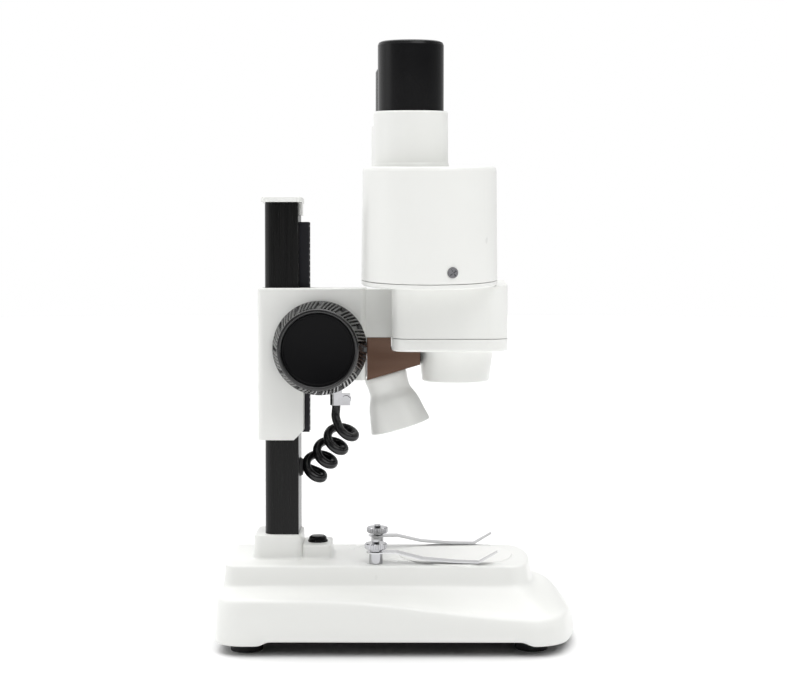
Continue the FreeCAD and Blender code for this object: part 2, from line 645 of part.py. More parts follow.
def build_drive():
    """Rack on the column; pinion, shaft and knobs on the carriage."""
    module, teeth, backlash = size("gear_module"), int(size("gear_teeth")), size("backlash")
    pitch_radius = module * teeth / 2
    line = size("knob_x") - pitch_radius
    face = size("column_x") + size("column_deep") / 2
    root, tip = line - 1.25 * module, line + 0.85 * module
    step = math.pi * module
    slope = math.tan(math.radians(20))
    half = (step - backlash) / 4
    low, high = size("rack_low"), size("rack_high")
    count = int((high - low - 2 * step) / 2 / step)
    outline = [(face, low), (root, low)]
    for index in range(-int((size("knob_z") - low) / step), 2 * count):
        z = size("knob_z") + index * step
        if z - step / 2 < low or z + step / 2 > high:
            continue
        outline += [(root, z - half - slope * (line - root)), (tip, z - half + slope * (tip - line)),
                    (tip, z + half - slope * (tip - line)), (root, z + half + slope * (line - root))]
    outline += [(root, high), (face, high)]
    wide = size("rack_wide")
    wire = Part.makePolygon([Vector(x, -wide / 2, z) for x, z in outline + outline[:1]])
    rack = Part.Face(wire).extrude(Vector(0, wide, 0))
    # Plain cheeks beside the teeth, as high as they are.
    cheek = size("cheek")
    rack = rack.fuse([solid_block((face, y, low), (tip, y + cheek, high))
                      for y in (-wide / 2, wide / 2 - cheek)]).removeSplitter()
    holes = [Part.makeCylinder(1, 12, Vector(face - 1, 0, z), Vector(1, 0, 0)) for z in (low + 5, high - 5)]
    sinks = [Part.makeCylinder(2.1, 4, Vector(root - 1.6, 0, z), Vector(1, 0, 0))
             for z in (low + 5, high - 5)]
    node(shape_feature("Rack", rack.cut(holes + sinks)), "rack")
    screws = []
    for index, z in enumerate(("dim.rack_low + 5", "dim.rack_high - 5")):
        at = ("dim.column_x + dim.column_deep / 2 - 2", "0", z)
        shank = cylinder(f"RackShank{index}", at, "1", "4.4", ((0, 1, 0), 90))
        head = cylinder(f"RackHead{index}", (f"{root - 1.6}", "0", z), "2", "1.2", ((0, 1, 0), 90))
        screws.append(fuse(f"RackScrew{index}", shank, head))
    node(group("RackScrews", *screws), "rack_screws")

    outline = []
    outer, inner = pitch_radius + 0.85 * module, pitch_radius - 1.15 * module
    for index in range(teeth):
        middle = 2 * math.pi * index / teeth
        radii = [inner + (outer - inner) * share / 4 for share in range(5)]
        flank = [(r, tooth_half_width(module, teeth, backlash, r)) for r in radii]
        outline += [(r, middle - a) for r, a in flank] + [(r, middle + a) for r, a in reversed(flank)]
    gear_wide = wide - 2 * cheek - 0.4
    points = [Vector(r * math.cos(a), -gear_wide / 2, r * math.sin(a)) for r, a in outline]
    gear = Part.Face(Part.makePolygon(points + points[:1])).extrude(Vector(0, gear_wide, 0))
    end = size("knob_outer") - 4.5
    shaft = Part.makeCylinder(size("shaft_radius"), 2 * end, Vector(0, -end, 0), Vector(0, 1, 0))
    feature = shape_feature("Pinion", gear.fuse(shaft))
    feature.Placement.Base = Vector(size("knob_x"), 0, size("knob_z"))
    node(feature, "pinion_shaft")
    axis = ((1, 0, 0), -90)
    bushes, faces = [], []
    for name, sign in SIDES:
        y = "-dim.carriage_wide / 2" if sign < 0 else "dim.carriage_wide / 2 - 6"
        outer_tube = cylinder(f"BushOuter_{name}", ("dim.knob_x", y, "dim.knob_z"), "dim.bush_radius",
                              "6", axis)
        bore = cylinder(f"BushBore_{name}", ("dim.knob_x", f"{y} - 1", "dim.knob_z"),
                        "dim.shaft_radius + 0.05", "8", axis)
        bushes.append(cut(f"Bush_{name}", outer_tube, bore))
        node(place(knob(name), ("dim.knob_x", "0", "dim.knob_z"), ((1, 0, 0), 90 if sign < 0 else -90)),
             f"focus_knob_{name}")
        face_disc = turned(f"KnobFace_{name}", [
            ("0", "dim.knob_outer - 2.6"), ("15.3", "dim.knob_outer - 2.6"),
            ("15.3", "dim.knob_outer - 1.1"), ("0", "dim.knob_outer - 1.1")])
        faces.append(place(face_disc, ("dim.knob_x", "0", "dim.knob_z"),
                           ((1, 0, 0), 90 if sign < 0 else -90)))
    node(group("KnobFaces", *faces), "knob_faces")
    node(group("Bushes", *bushes), "shaft_bushes")


def knob(name):
    """Focus knob, turned about Z, with slanted grip grooves cut in its conical band."""
    outer = "dim.knob_outer"
    body = turned(f"Knob_{name}", [
        ("dim.shaft_radius", "dim.knob_inner"), ("dim.knob_radius - 1", "dim.knob_inner"),
        ("dim.knob_radius", "dim.knob_inner + 1"), ("dim.knob_radius", "dim.knob_inner + 5.5"),
        ("dim.knob_radius - 0.7", "dim.knob_inner + 6.2"), ("17.4", f"{outer} - 1.2"),
        ("16.9", outer), ("15.9", outer), ("15.35", f"{outer} - 0.9"), ("15.35", f"{outer} - 2.6"),
        ("dim.shaft_radius", f"{outer} - 2.6")])
    groove = sketch(body, "XY_Plane", outer)
    circle(groove, ("dim.knob_radius - 0.2", "0"), "0.75")
    cutter = pocket(body, groove, "10")
    pattern = body.newObject("PartDesign::PolarPattern", body.Name + "_grip")
    pattern.Originals = [cutter]
    pattern.Axis = (groove, ["N_Axis"])
    pattern.Angle = 360
    pattern.Occurrences = 48
    body.Tip = pattern
    return body


# ---------------------------------------------------------------- carriage
def build_carriage():
    half = "dim.carriage_wide / 2"
    body = doc.addObject("PartDesign::Body", "Carriage")
    side = sketch(body, "XZ_Plane", half)
    polygon(side, [
        ("dim.carriage_rear", "dim.sleeve_low"), ("dim.sleeve_front - 4", "dim.sleeve_low"),
        ("dim.sleeve_front", "dim.sleeve_low + 4"), ("dim.sleeve_front", "dim.block_low"),
        ("dim.carriage_front", "dim.block_low"), ("dim.carriage_front", "dim.carriage_top"),
        ("dim.carriage_rear", "dim.carriage_top")])
    pad(body, side, "dim.carriage_wide", back=True)
    soften(body, "2.4", lambda e: upright(e) and e.Length > 30)
    soften(body, "0.8", at_height(size("carriage_top")))
    arm = sketch(body, "XZ_Plane", "dim.arm_wide / 2")
    rectangle(arm, ("dim.carriage_front - 2", "dim.arm_low"), ("dim.body_rear", "dim.arm_high"))
    pad(body, arm, "dim.arm_wide", back=True)
    # Passage for the column, the channel for its rack, and the room around the pinion.
    bore = sketch(body, "XY_Plane", "dim.sleeve_low")
    gap = "dim.slide_gap"
    rectangle(bore, (f"dim.column_x - dim.column_deep / 2 - {gap}", f"-dim.column_wide / 2 - {gap}"),
              (f"dim.column_x + dim.column_deep / 2 + {gap}", f"dim.column_wide / 2 + {gap}"))
    pocket(body, bore, "100", back=True)
    channel = sketch(body, "XY_Plane", "dim.sleeve_low")
    rectangle(channel, ("dim.column_x", "-5"), ("dim.sleeve_front + 4.2", "5"))
    pocket(body, channel, "100", back=True)
    room = sketch(body, "XZ_Plane", "5.6")
    circle(room, ("dim.knob_x", "dim.knob_z"), "8")
    pocket(body, room, "11.2")
    holes = sketch(body, "XZ_Plane", half)
    circle(holes, ("dim.knob_x", "dim.knob_z"), "dim.bush_radius")
    pocket(body, holes, "dim.carriage_wide")
    node(body, "carriage")
    pads = []
    x_low = f"dim.column_x - dim.column_deep / 2 - {gap}"
    for index, z in enumerate(("dim.sleeve_low + 4", "dim.carriage_top - 14")):
        top = f"{z} + 10"
        pads.append(block(f"PadRear{index}", (x_low, "-7", z),
                          (f"dim.column_x - dim.column_deep / 2 - 0.05", "7", top)))
        for name, sign in SIDES:
            inner, outer = "dim.column_wide / 2 + 0.05", f"dim.column_wide / 2 + {gap}"
            low_y, high_y = (f"-({outer})", f"-({inner})") if sign < 0 else (inner, outer)
            pads.append(block(f"Pad_{name}{index}", ("dim.column_x - 5", low_y, z),
                              ("dim.column_x + 5", high_y, top)))
    node(group("Pads", *pads), "slide_pads")


# ---------------------------------------------------------------- optical body
def build_optical_body():
    half = "dim.body_wide / 2"
    body = doc.addObject("PartDesign::Body", "OpticalBody")
    slope = math.tan(math.radians(size("eye_lean")))
    ridge = size("eye_z") - 0.35 + slope * size("eye_y")
    outline = sketch(body, "XY_Plane", "dim.body_low")
    rectangle(outline, ("dim.body_rear", f"-{half}"), ("dim.body_front", half))
    pad(body, outline, f"{ridge} - dim.body_low")
    soften(body, "dim.body_round", upright)
    # The two leaning seats for the eye housings make a shallow roof.
    roof = sketch(body, "YZ_Plane", "dim.body_rear - 1")
    polygon(roof, [("0", f"{ridge}"), (f"-{half} - 1", f"{ridge} - {slope} * ({half} + 1)"),
                   (f"-{half} - 1", f"{ridge} + 5"), (f"{half} + 1", f"{ridge} + 5"),
                   (f"{half} + 1", f"{ridge} - {slope} * ({half} + 1)")])
    pocket(body, roof, "60", back=True)
    inside = sketch(body, "XY_Plane", "dim.body_low")
    rectangle(inside, ("dim.body_rear + 3", f"-{half} + 3"), ("dim.body_front - 3", f"{half} - 3"))
    pocket(body, inside, "19", back=True)
    windows = sketch(body, "XY_Plane", "dim.body_low")
    for sign in (-1, 1):
        circle(windows, ("dim.stage_x", f"{sign} * dim.entry_y"), "6")
    pocket(body, windows, "30", back=True)
    bores = []
    for name, sign in SIDES:
        # A running bore through the roof, and room below it for the pivot's snap rim.
        for kind, clearance, height in (("Bore", "0.05", "12"), ("Room", "0.65", "3.8")):
            bore = cylinder(f"Pivot{kind}_{name}", None, "dim.pivot_radius + " + clearance, height)
            bore.Placement = eye_frame(sign).multiply(
                FreeCAD.Placement(Vector(0, 0, -8), FreeCAD.Rotation()))
            bores.append(bore)
    node(cut("BoredBody", body, *bores), "optical_body")
    base = plate("BodyBase", ("dim.body_rear", f"-{half}"), ("dim.body_front", half),
                 "dim.body_base_low", "dim.body_low - dim.body_base_low - 0.25", "dim.body_round")
    soften(base, "1.2", at_height(size("body_base_low")))
    seat = sketch(base, "XY_Plane", "dim.body_base_low")
    circle(seat, ("dim.stage_x", "0"), "14")
    pocket(base, seat, "8", back=True)
    lip = sketch(base, "XY_Plane", "dim.body_low - 0.25")
    rectangle(lip, ("dim.body_rear + 1.4", f"-{half} + 9"), ("dim.body_front - 1.4", f"{half} - 9"))
    rectangle(lip, ("dim.body_rear + 4", f"-{half} + 10"), ("dim.body_front - 4", f"{half} - 10"))
    pad(base, lip, "0.25")
    holes = sketch(base, "XY_Plane", "dim.body_base_low")
    for x in ("dim.body_rear + 7", "dim.body_front - 7"):
        for y in ("-22", "22"):
            circle(holes, (x, y), "1.4")
    pocket(base, holes, "6", back=True)
    sinks = sketch(base, "XY_Plane", "dim.body_base_low")
    for x in ("dim.body_rear + 7", "dim.body_front - 7"):
        for y in ("-22", "22"):
            circle(sinks, (x, y), "2.7")
    pocket(base, sinks, "1.6", back=True)
    node(base, "body_base")
    screws = []
    for index, x in enumerate(("dim.body_rear + 7", "dim.body_front - 7")):
        for name, y in (("left", "-22"), ("right", "22")):
            head = cylinder(f"BodyHead_{name}{index}", (x, y, "dim.body_base_low + 0.3"), "2.6", "1.3")
            shank = cylinder(f"BodyShank_{name}{index}", (x, y, "dim.body_base_low + 1"), "1.35", "5")
            screws.append(fuse(f"BodyScrew_{name}{index}", head, shank))
    node(group("BodyScrews", *screws), "body_screws")


def build_objectives():
    cone = turned("Cone", [
        ("dim.cone_radius - 1.4", "dim.cone_low"), ("dim.cone_radius - 0.5", "dim.cone_low"),
        ("dim.cone_radius", "dim.cone_low + 0.5"), ("16.5", "dim.body_base_low - 0.05"),
        ("14", "dim.body_base_low - 0.05"), ("14", "dim.body_low - 1.4"), ("12.4", "dim.body_low - 1.4"),
        ("12.4", "dim.cone_low + 6.5"), ("dim.cone_radius - 1.4", "dim.cone_low + 6.5")])
    node(place(cone, ("dim.stage_x", "0", "0")), "objective_cone")
    # One black plate carries both lenses, each in a raised ring with an inner step.
    mount = doc.addObject("PartDesign::Body", "LensMount")
    for low, high, outer, inner in (
            ("dim.cone_low + 3.2", "3.3", "dim.cone_radius - 1.4", "dim.objective_radius - 0.6"),
            ("dim.cone_low + 1.4", "3.4", None, "dim.objective_radius")):
        if outer:
            outline = sketch(mount, "XY_Plane", low)
            circle(outline, ("dim.stage_x", "0"), outer)
            for sign in (-1, 1):
                circle(outline, ("dim.stage_x", f"{sign} * dim.objective_y"), inner)
            pad(mount, outline, high)
        else:
            for sign in (-1, 1):
                outline = sketch(mount, "XY_Plane", low)
                circle(outline, ("dim.stage_x", f"{sign} * dim.objective_y"), "dim.objective_radius + 0.9")
                pad(mount, outline, high)
            bores = sketch(mount, "XY_Plane", low)
            for sign in (-1, 1):
                circle(bores, ("dim.stage_x", f"{sign} * dim.objective_y"), inner)
            pocket(mount, bores, high, back=True)
    node(mount, "lens_mount")
    lenses = [place(lens(f"Objective_{name}", "dim.objective_radius", 2.6, 0.7),
                    ("dim.stage_x", f"{sign} * dim.objective_y", "dim.cone_low + 2.2"))
              for name, sign in SIDES]
    node(group("Objectives", *lenses), "objective_lenses")


def lens(name, radius, thickness, crown):
    """A double-convex lens turned about Z, with its lower rim at zero."""
    body = doc.addObject("PartDesign::Body", name)
    outline = sketch(body, "XZ_Plane")
    rim = thickness - 2 * crown
    polygon(outline, [
        ("0", f"-{crown}"), (f"{radius} * 0.5", f"-{crown} * 0.78"), (radius, "0"), (radius, f"{rim}"),
        (f"{radius} * 0.5", f"{rim} + {crown} * 0.78"), ("0", f"{rim} + {crown}")])
    revolve(body, outline)
    return body


# ---------------------------------------------------------------- eye housings
def eye_frame(sign):
    """Where a housing's own upright frame goes: leant out, then turned about its axis."""
    turn = size("left_turn") if sign < 0 else size("right_turn")
    lean = FreeCAD.Rotation(Vector(1, 0, 0), -sign * size("eye_lean"))
    spin = FreeCAD.Rotation(UP, sign * turn)
    return FreeCAD.Placement(Vector(size("eye_x"), sign * size("eye_y"), size("eye_z")),
                             lean.multiply(spin))


def seat_eye(feature, sign, at=(0, 0, 0)):
    feature.Placement = eye_frame(sign).multiply(FreeCAD.Placement(Vector(*at), FreeCAD.Rotation()))
    return feature


def build_eye_side(name, sign):
    shift = (-size("tube_shift"), 0, 0)
    shell = turned(f"Drum_{name}", [
        ("0", "dim.drum_high - 2.4"), ("dim.drum_radius - 3.2", "dim.drum_high - 2.4"),
        ("dim.drum_radius - 2.6", "dim.drum_base + 0.25"), ("dim.drum_radius - 0.15", "dim.drum_base + 0.25"),
        ("dim.drum_radius", "dim.drum_base + 0.6"), ("dim.drum_radius - 0.6", "dim.drum_high - 1.6"),
        ("dim.drum_radius - 1.0", "dim.drum_high - 0.6"), ("dim.drum_radius - 1.9", "dim.drum_high"),
        ("0", "dim.drum_high")])
    mouth = sketch(shell, "XY_Plane", "dim.drum_high")
    circle(mouth, ("-dim.tube_shift", "0"), "dim.tube_radius - 1.6")
    pocket(shell, mouth, "4")
    bearing = math.radians(sign * size("screw_bearing"))
    direction = Vector(math.cos(bearing), math.sin(bearing), 0)
    node(seat_eye(shell, sign), f"eye_housing_{name}")

    base = turned(f"DrumBase_{name}", [
        ("0", "0"), ("dim.drum_radius - 0.6", "0"), ("dim.drum_radius", "0.6"),
        ("dim.drum_radius", "dim.drum_base"), ("dim.drum_radius - 3.3", "dim.drum_base"),
        ("dim.drum_radius - 3.3", "dim.drum_base + 8"), ("dim.drum_radius - 4.9", "dim.drum_base + 8"),
        ("dim.drum_radius - 4.9", "dim.drum_base"), ("0", "dim.drum_base")])
    # The light enters off the axis; three pillars hold the shelf that carries the upper prism.
    reach_x, reach_y = size("stage_x") - size("eye_x"), size("eye_y") - size("entry_y")
    turn = size("left_turn") if sign < 0 else size("right_turn")
    bearing = -sign * (math.atan2(reach_y, reach_x) + math.radians(turn))
    reach = math.hypot(reach_x, reach_y)
    entry = (f"{reach * math.cos(bearing)}", f"{reach * math.sin(bearing)}")
    pillars = sketch(base, "XY_Plane", "dim.drum_base - 0.5")
    for third in (math.pi / 3, math.pi, -math.pi / 3):
        angle = bearing + third
        circle(pillars, (f"{21 * math.cos(angle)}", f"{21 * math.sin(angle)}"), "1.8")
    pad(base, pillars, "24.3 - dim.drum_base")
    shelf = sketch(base, "XY_Plane", "22")
    circle(shelf, ("0", "0"), "dim.drum_radius - 4.6")
    pad(base, shelf, "2")
    exits = sketch(base, "XY_Plane", "21")
    circle(exits, ("-dim.tube_shift", "0"), "6")
    pocket(base, exits, "4", back=True)
    window = sketch(base, "XY_Plane", "0")
    circle(window, entry, "4.6")
    pocket(base, window, "24", back=True)
    # Hollow pivot that snaps through the optical body's roof.
    pivot = sketch(base, "XY_Plane", "0")
    circle(pivot, ("0", "0"), "dim.pivot_radius")
    circle(pivot, ("0", "0"), "dim.pivot_radius - 1.4")
    pad(base, pivot, "5.6", back=True)
    flange = sketch(base, "XY_Plane", "-5.6")
    circle(flange, ("0", "0"), "dim.pivot_radius + 0.5")
    circle(flange, ("0", "0"), "dim.pivot_radius - 1.4")
    pad(base, flange, "0.9")
    node(seat_eye(base, sign), f"housing_base_{name}")

    rise = Vector(0, 0, size("screw_high"))
    head = Part.makeCylinder(2.2, 0.9, direction * (size("drum_radius") - 0.55) + rise, direction)
    shank = Part.makeCylinder(1.1, 3.4, direction * (size("drum_radius") - 3.6) + rise, direction)
    slot = solid_block((-0.35, -1.6, -0.4), (0.35, 1.6, 0.4))
    cross = slot.fuse(solid_block((-1.6, -0.35, -0.4), (1.6, 0.35, 0.4)))
    tilt = FreeCAD.Rotation(UP, direction)
    cross.Placement = FreeCAD.Placement(direction * (size("drum_radius") + 0.3) + rise, tilt)
    screw_shape = head.fuse(shank).cut(cross).removeSplitter()
    shell_hole = primitive("Cylinder", f"ScrewHole_{name}", Radius="2.25", Height="6")
    shell_hole.Placement = FreeCAD.Placement(
        direction * (size("drum_radius") - 4.5) + rise, tilt)
    node(seat_eye(shape_feature(f"HousingScrew_{name}", screw_shape), sign), f"housing_screw_{name}")
    # The screw passes through the shell's wall and the rim of its base.
    for index, part in enumerate(nodes[-3:-1]):
        position = len(nodes) - 3 + index
        placement = part.Placement
        label = part.Label
        part.Placement = FreeCAD.Placement()
        part.Label = part.Name + "_blank"
        drilled = cut(f"Drilled{index}_{name}", part, shell_hole)
        drilled.Placement = placement
        drilled.Label = label
        nodes[position] = drilled

    # Erecting prisms: one lies on the shelf, the other on the floor below it.
    prisms = []
    for index, (x, y, z, high) in enumerate(((1.5, -4.5 * sign, 24.1, 10), (1.5, -4.5 * sign, 9.9, 12))):
        half_long = 14 if index == 0 else 12
        profile = [Vector(-half_long, 0, 0 if index == 0 else high),
                   Vector(half_long, 0, 0 if index == 0 else high), Vector(0, 0, high if index == 0 else 0)]
        wedge = Part.Face(Part.makePolygon(profile + profile[:1])).extrude(Vector(0, 10, 0))
        wedge.translate(Vector(x, y - 5, z))
        prisms.append(wedge)
    feature = shape_feature(f"Prisms_{name}", Part.makeCompound(prisms))
    node(seat_eye(feature, sign), f"prisms_{name}")

    tube = turned(f"EyeTube_{name}", [
        ("dim.eyepiece_radius + 0.06", "dim.drum_high + 0.02"), ("dim.tube_radius + 0.5", "dim.drum_high + 0.02"),
        ("dim.tube_radius + 0.2", "dim.drum_high + 1.2"), ("dim.tube_radius", "dim.drum_high + 1.6"),
        ("dim.tube_radius - 0.1", "dim.tube_top - 0.6"), ("dim.tube_radius - 0.6", "dim.tube_top"),
        ("dim.eyepiece_radius + 0.06", "dim.tube_top")])
    node(seat_eye(tube, sign, shift), f"eye_tube_{name}")

    draw = size("left_draw") if sign < 0 else size("right_draw")
    lifted = (shift[0], 0, draw)
    top = "dim.eyepiece_top"
    barrel = turned(f"Barrel_{name}", [
        ("dim.eyepiece_radius - 1.4", "dim.drum_high + 3"), ("dim.eyepiece_radius", "dim.drum_high + 3"),
        ("dim.eyepiece_radius", f"{top} - 1.6"), ("dim.eyepiece_radius - 0.5", f"{top} - 0.5"),
        ("dim.eyepiece_radius - 1.6", top), ("dim.eyepiece_radius - 3.4", top),
        ("dim.eyepiece_radius - 4.4", f"{top} - 1"), ("8.4", f"{top} - 3.6"), ("8.4", f"{top} - 6"),
        ("9.4", f"{top} - 6"), ("9.4", f"{top} - 10"), ("dim.eyepiece_radius - 1.4", f"{top} - 12")])
    node(seat_eye(barrel, sign, lifted), f"eyepiece_{name}")
    glasses = (("EyeLens", "9.35", size("eyepiece_top") - 9), ("FieldLens", "12.35", size("drum_high") + 8))
    lenses = [seat_eye(lens(f"{kind}_{name}", radius, 4, 1), sign, (shift[0], 0, draw + height))
              for kind, radius, height in glasses]
    node(group(f"EyeLenses_{name}", *lenses), f"eyepiece_lenses_{name}")


# ---------------------------------------------------------------- lamp
def lamp_frame(distance=0):
    """The lamp's own frame: Z points out of the shade, down and forward."""
    tilt = math.radians(size("lamp_tilt"))
    axis = Vector(math.sin(tilt), 0, -math.cos(tilt))
    start = Vector(size("lamp_x"), 0, size("lamp_z"))
    return FreeCAD.Placement(start + axis * distance, FreeCAD.Rotation(UP, axis))


def build_lamp():
    tilt = math.radians(size("lamp_tilt"))
    slope = math.tan(tilt)
    half = size("bracket_wide") / 2
    thick = 1.0

    def web(x):
        return size("lamp_z") + (x - size("lamp_x")) * slope + 0.1

    roof, low_roof = size("arm_low") - 0.1, size("body_base_low") - 0.2
    step_x = size("body_rear") - 0.4
    profile = [(-13.4, web(-13.4)), (9.6, web(9.6)), (9.6, low_roof), (step_x, low_roof), (step_x, roof),
               (-13.4, roof)]
    wire = Part.makePolygon([Vector(x, -half, z) for x, z in profile + profile[:1]])
    solid = Part.Face(wire).extrude(Vector(0, 2 * half, 0))
    inner = solid_block((-30, -half + thick, 100), (30, half - thick, 140))
    lift = Vector(0, 0, thick / math.cos(tilt))
    floor = [(-30, web(-30)), (30, web(30)), (30, 150), (-30, 150)]
    floor_wire = Part.makePolygon([Vector(x, -half, z) for x, z in floor + floor[:1]])
    above = Part.Face(floor_wire).extrude(Vector(0, 2 * half, 0))
    above.translate(lift)
    lid = solid_block((-13.4, -half, roof - thick), (step_x, half, roof))
    shell = solid.cut(inner.common(above)).fuse(lid)
    neck = Part.makeCylinder(5.2, 8)
    neck.Placement = lamp_frame(-4)
    screws = [Part.makeCylinder(1.3, 4, Vector(-9, sign * 7, roof - 2)) for sign in (-1, 1)]
    node(shape_feature("Bracket", shell.cut([neck] + screws).removeSplitter()), "lamp_bracket")
    pieces = []
    for sign in (-1, 1):
        head = Part.makeCylinder(2.4, 1.5, Vector(-9, sign * 7, roof - thick - 1.5))
        pieces.append(head.fuse(Part.makeCylinder(1.3, thick, Vector(-9, sign * 7, roof - thick))))
    node(shape_feature("BracketScrews", Part.makeCompound(pieces)), "bracket_screws")

    shade = turned("Shade", [
        ("5", "-1"), ("5", "0"), ("8.6", "0"), ("9.1", "0.6"), ("9.15", "8"), ("9.7", "11.5"),
        ("11", "16"), ("12.3", "20"), ("13.2", "dim.lamp_long"), ("12.1", "dim.lamp_long"),
        ("11.1", "20"), ("9.7", "16"), ("8.3", "11.5"), ("7.6", "8"), ("7.6", "1.6"), ("3.4", "1.6"),
        ("3.4", "-1")])
    shade.Placement = lamp_frame()
    node(shade, "lamp_shade")
    led = turned("Led", [("0", "1.7"), ("7.5", "1.7"), ("7.5", "3.1"), ("2.9", "3.1"), ("2.9", "4"),
                         ("2.5", "4"), ("2.5", "6.6"), ("1.8", "8.3"), ("0", "9")])
    led.Placement = lamp_frame()
    node(led, "lamp_led")


# ---------------------------------------------------------------- cord
def build_cord():
    """Clamp under the carriage, curly cord, and its way into the column."""
    x, z, cord = size("clamp_x"), size("clamp_z"), size("cord_radius")
    under = size("block_low")
    loop = Part.makeCylinder(cord + 1, 5, Vector(x, 0, z - 2.5))
    loop = loop.fuse(solid_block((x, -2.6, z - 2.5), (x + 6.2, 2.6, z + 2.5)))
    tab = solid_block((x - 2.6, -2.6, z + 2.5), (x + 2.6, 2.6, under - 0.05))
    bore = Part.makeCylinder(cord, 20, Vector(x, 0, z - 10))
    relief = Part.makeCylinder(cord, 3, Vector(x, 0, z + 2))
    slit = solid_block((x, -0.5, z - 3), (x + 7, 0.5, z + 2.5))
    clamp = loop.fuse(tab).cut([bore.common(solid_block((x - 9, -9, z - 10), (x + 9, 9, z + 4.4))), slit,
                                relief]).removeSplitter()
    bolt = Part.makeCylinder(1, 5.2, Vector(x + 4.4, -2.6, z), Vector(0, 1, 0))
    node(shape_feature("Clamp", clamp.cut(bolt)), "cord_clamp")
    heads = [Part.makeCylinder(1.9, 1.4, Vector(x + 4.4, -4, z), Vector(0, 1, 0)),
             Part.makeCylinder(2.1, 1.6, Vector(x + 4.4, 2.6, z), Vector(0, 1, 0))]
    node(shape_feature("ClampScrew", bolt.fuse(heads)), "clamp_screw")

    top = Vector(size("coil_top_x"), 0, size("coil_top_z"))
    low = Vector(size("coil_low_x"), 0, size("coil_low_z"))
    loop_tilt = math.radians(15)
    normal = Vector(math.sin(loop_tilt), 0, math.cos(loop_tilt))
    disc = Part.Face(Part.Wire(Part.makeCircle(size("coil_radius"), top, normal)))
    node(shape_feature("Coil", disc.extrude(low - top)), "cord_coil")
    start = Vector(x, 0, z + 4.4)
    entry = top + Vector(-0.6, 0, -0.4)
    lead = tube_along([start, Vector(x, 0, entry.z + 5), entry], cord)
    node(shape_feature("Lead", lead), "cord_lead")


def tube_along(points, radius):
    """A round tube along straight runs joined by tangent arcs."""
    edges = []
    here = points[0]
    for before, corner, after in zip(points, points[1:], points[2:]):
        inward = (corner - before).normalize()
        outward = (after - corner).normalize()
        half_turn = inward.getAngle(outward) / 2
        reach = 0.45 * min((corner - before).Length, (after - corner).Length)
        print("cord arc radius", round(reach / math.tan(half_turn), 2))
        enter, leave = corner - inward * reach, corner + outward * reach
        middle = corner + (outward - inward).normalize() * (
            reach / math.sin(half_turn) * (1 / math.cos(half_turn) - 1) * math.cos(half_turn))
        edges += [Part.LineSegment(here, enter).toShape(), Part.Arc(enter, middle, leave).toShape()]
        here = leave
    edges.append(Part.LineSegment(here, points[-1]).toShape())
    path = Part.Wire(edges)
    direction = (points[1] - points[0]).normalize()
    ring = Part.Wire(Part.makeCircle(radius, points[0], direction))
    tube = path.makePipeShell([ring], True, True)
    print("tube volume", round(tube.Volume, 2), "of", round(math.pi * radius ** 2 * path.Length, 2))
    return tube


# ---------------------------------------------------------------- build, check and write
build_base()
build_batteries()
build_switch()
build_stage()
build_column()
build_drive()
build_carriage()
build_optical_body()
build_objectives()
for side_name, side_sign in SIDES:
    build_eye_side(side_name, side_sign)
build_lamp()
build_cord()
doc.recompute()

for feature in doc.Objects:
    if "Invalid" in feature.State or "Error" in feature.State:
        raise RuntimeError(f"{feature.Name} ({feature.Label}) failed: {feature.State}")
os.makedirs("parts", exist_ok=True)
for feature in nodes:
    shape = feature.Shape
    if shape.isNull() or not shape.isValid() or shape.Volume <= 0:
        raise RuntimeError(f"{feature.Label}: bad shape")
    shape.exportStep(f"parts/{feature.Label}.step")
print(len(nodes), "nodes written")
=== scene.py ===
"""Looks of a low-power stereo microscope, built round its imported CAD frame.

Metres, +Z up, in the frame of the CAD model. Pieces are drawn in millimetres and scaled by MM.
"""
import json
import math
import bmesh
import bpy
from mathutils import Matrix, Vector


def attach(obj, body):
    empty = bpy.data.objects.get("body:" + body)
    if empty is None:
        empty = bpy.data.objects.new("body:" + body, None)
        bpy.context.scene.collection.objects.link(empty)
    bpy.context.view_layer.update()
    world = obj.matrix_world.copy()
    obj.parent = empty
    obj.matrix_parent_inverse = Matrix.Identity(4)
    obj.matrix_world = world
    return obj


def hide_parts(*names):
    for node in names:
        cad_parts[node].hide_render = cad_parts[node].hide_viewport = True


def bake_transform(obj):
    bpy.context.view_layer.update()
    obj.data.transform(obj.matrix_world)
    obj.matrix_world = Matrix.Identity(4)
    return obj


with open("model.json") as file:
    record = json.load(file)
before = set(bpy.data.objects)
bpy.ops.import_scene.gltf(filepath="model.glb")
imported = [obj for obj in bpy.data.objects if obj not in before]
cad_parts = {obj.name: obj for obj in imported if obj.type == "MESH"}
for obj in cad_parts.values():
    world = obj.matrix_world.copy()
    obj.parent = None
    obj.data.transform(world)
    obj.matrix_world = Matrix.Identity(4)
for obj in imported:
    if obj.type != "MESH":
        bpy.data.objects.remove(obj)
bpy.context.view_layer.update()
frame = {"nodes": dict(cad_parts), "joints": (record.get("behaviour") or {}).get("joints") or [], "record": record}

MM = 0.001
SIDES = (("left", -1), ("right", 1))
NOISE_SPAN = (0.3, 0.7)
RECORD = frame["record"]
JOINTS = {joint["name"]: joint for joint in frame["joints"]}


# ---------------------------------------------------------------- materials
def fade(tree, source, start, end, low, high):
    """Node that runs from low to high as the source runs from start to end."""
    span = tree.nodes.new("ShaderNodeMapRange")
    span.inputs["From Min"].default_value = start
    span.inputs["From Max"].default_value = end
    span.inputs["To Min"].default_value = low
    span.inputs["To Max"].default_value = high
    tree.links.new(source, span.inputs["Value"])
    return span.outputs["Result"]


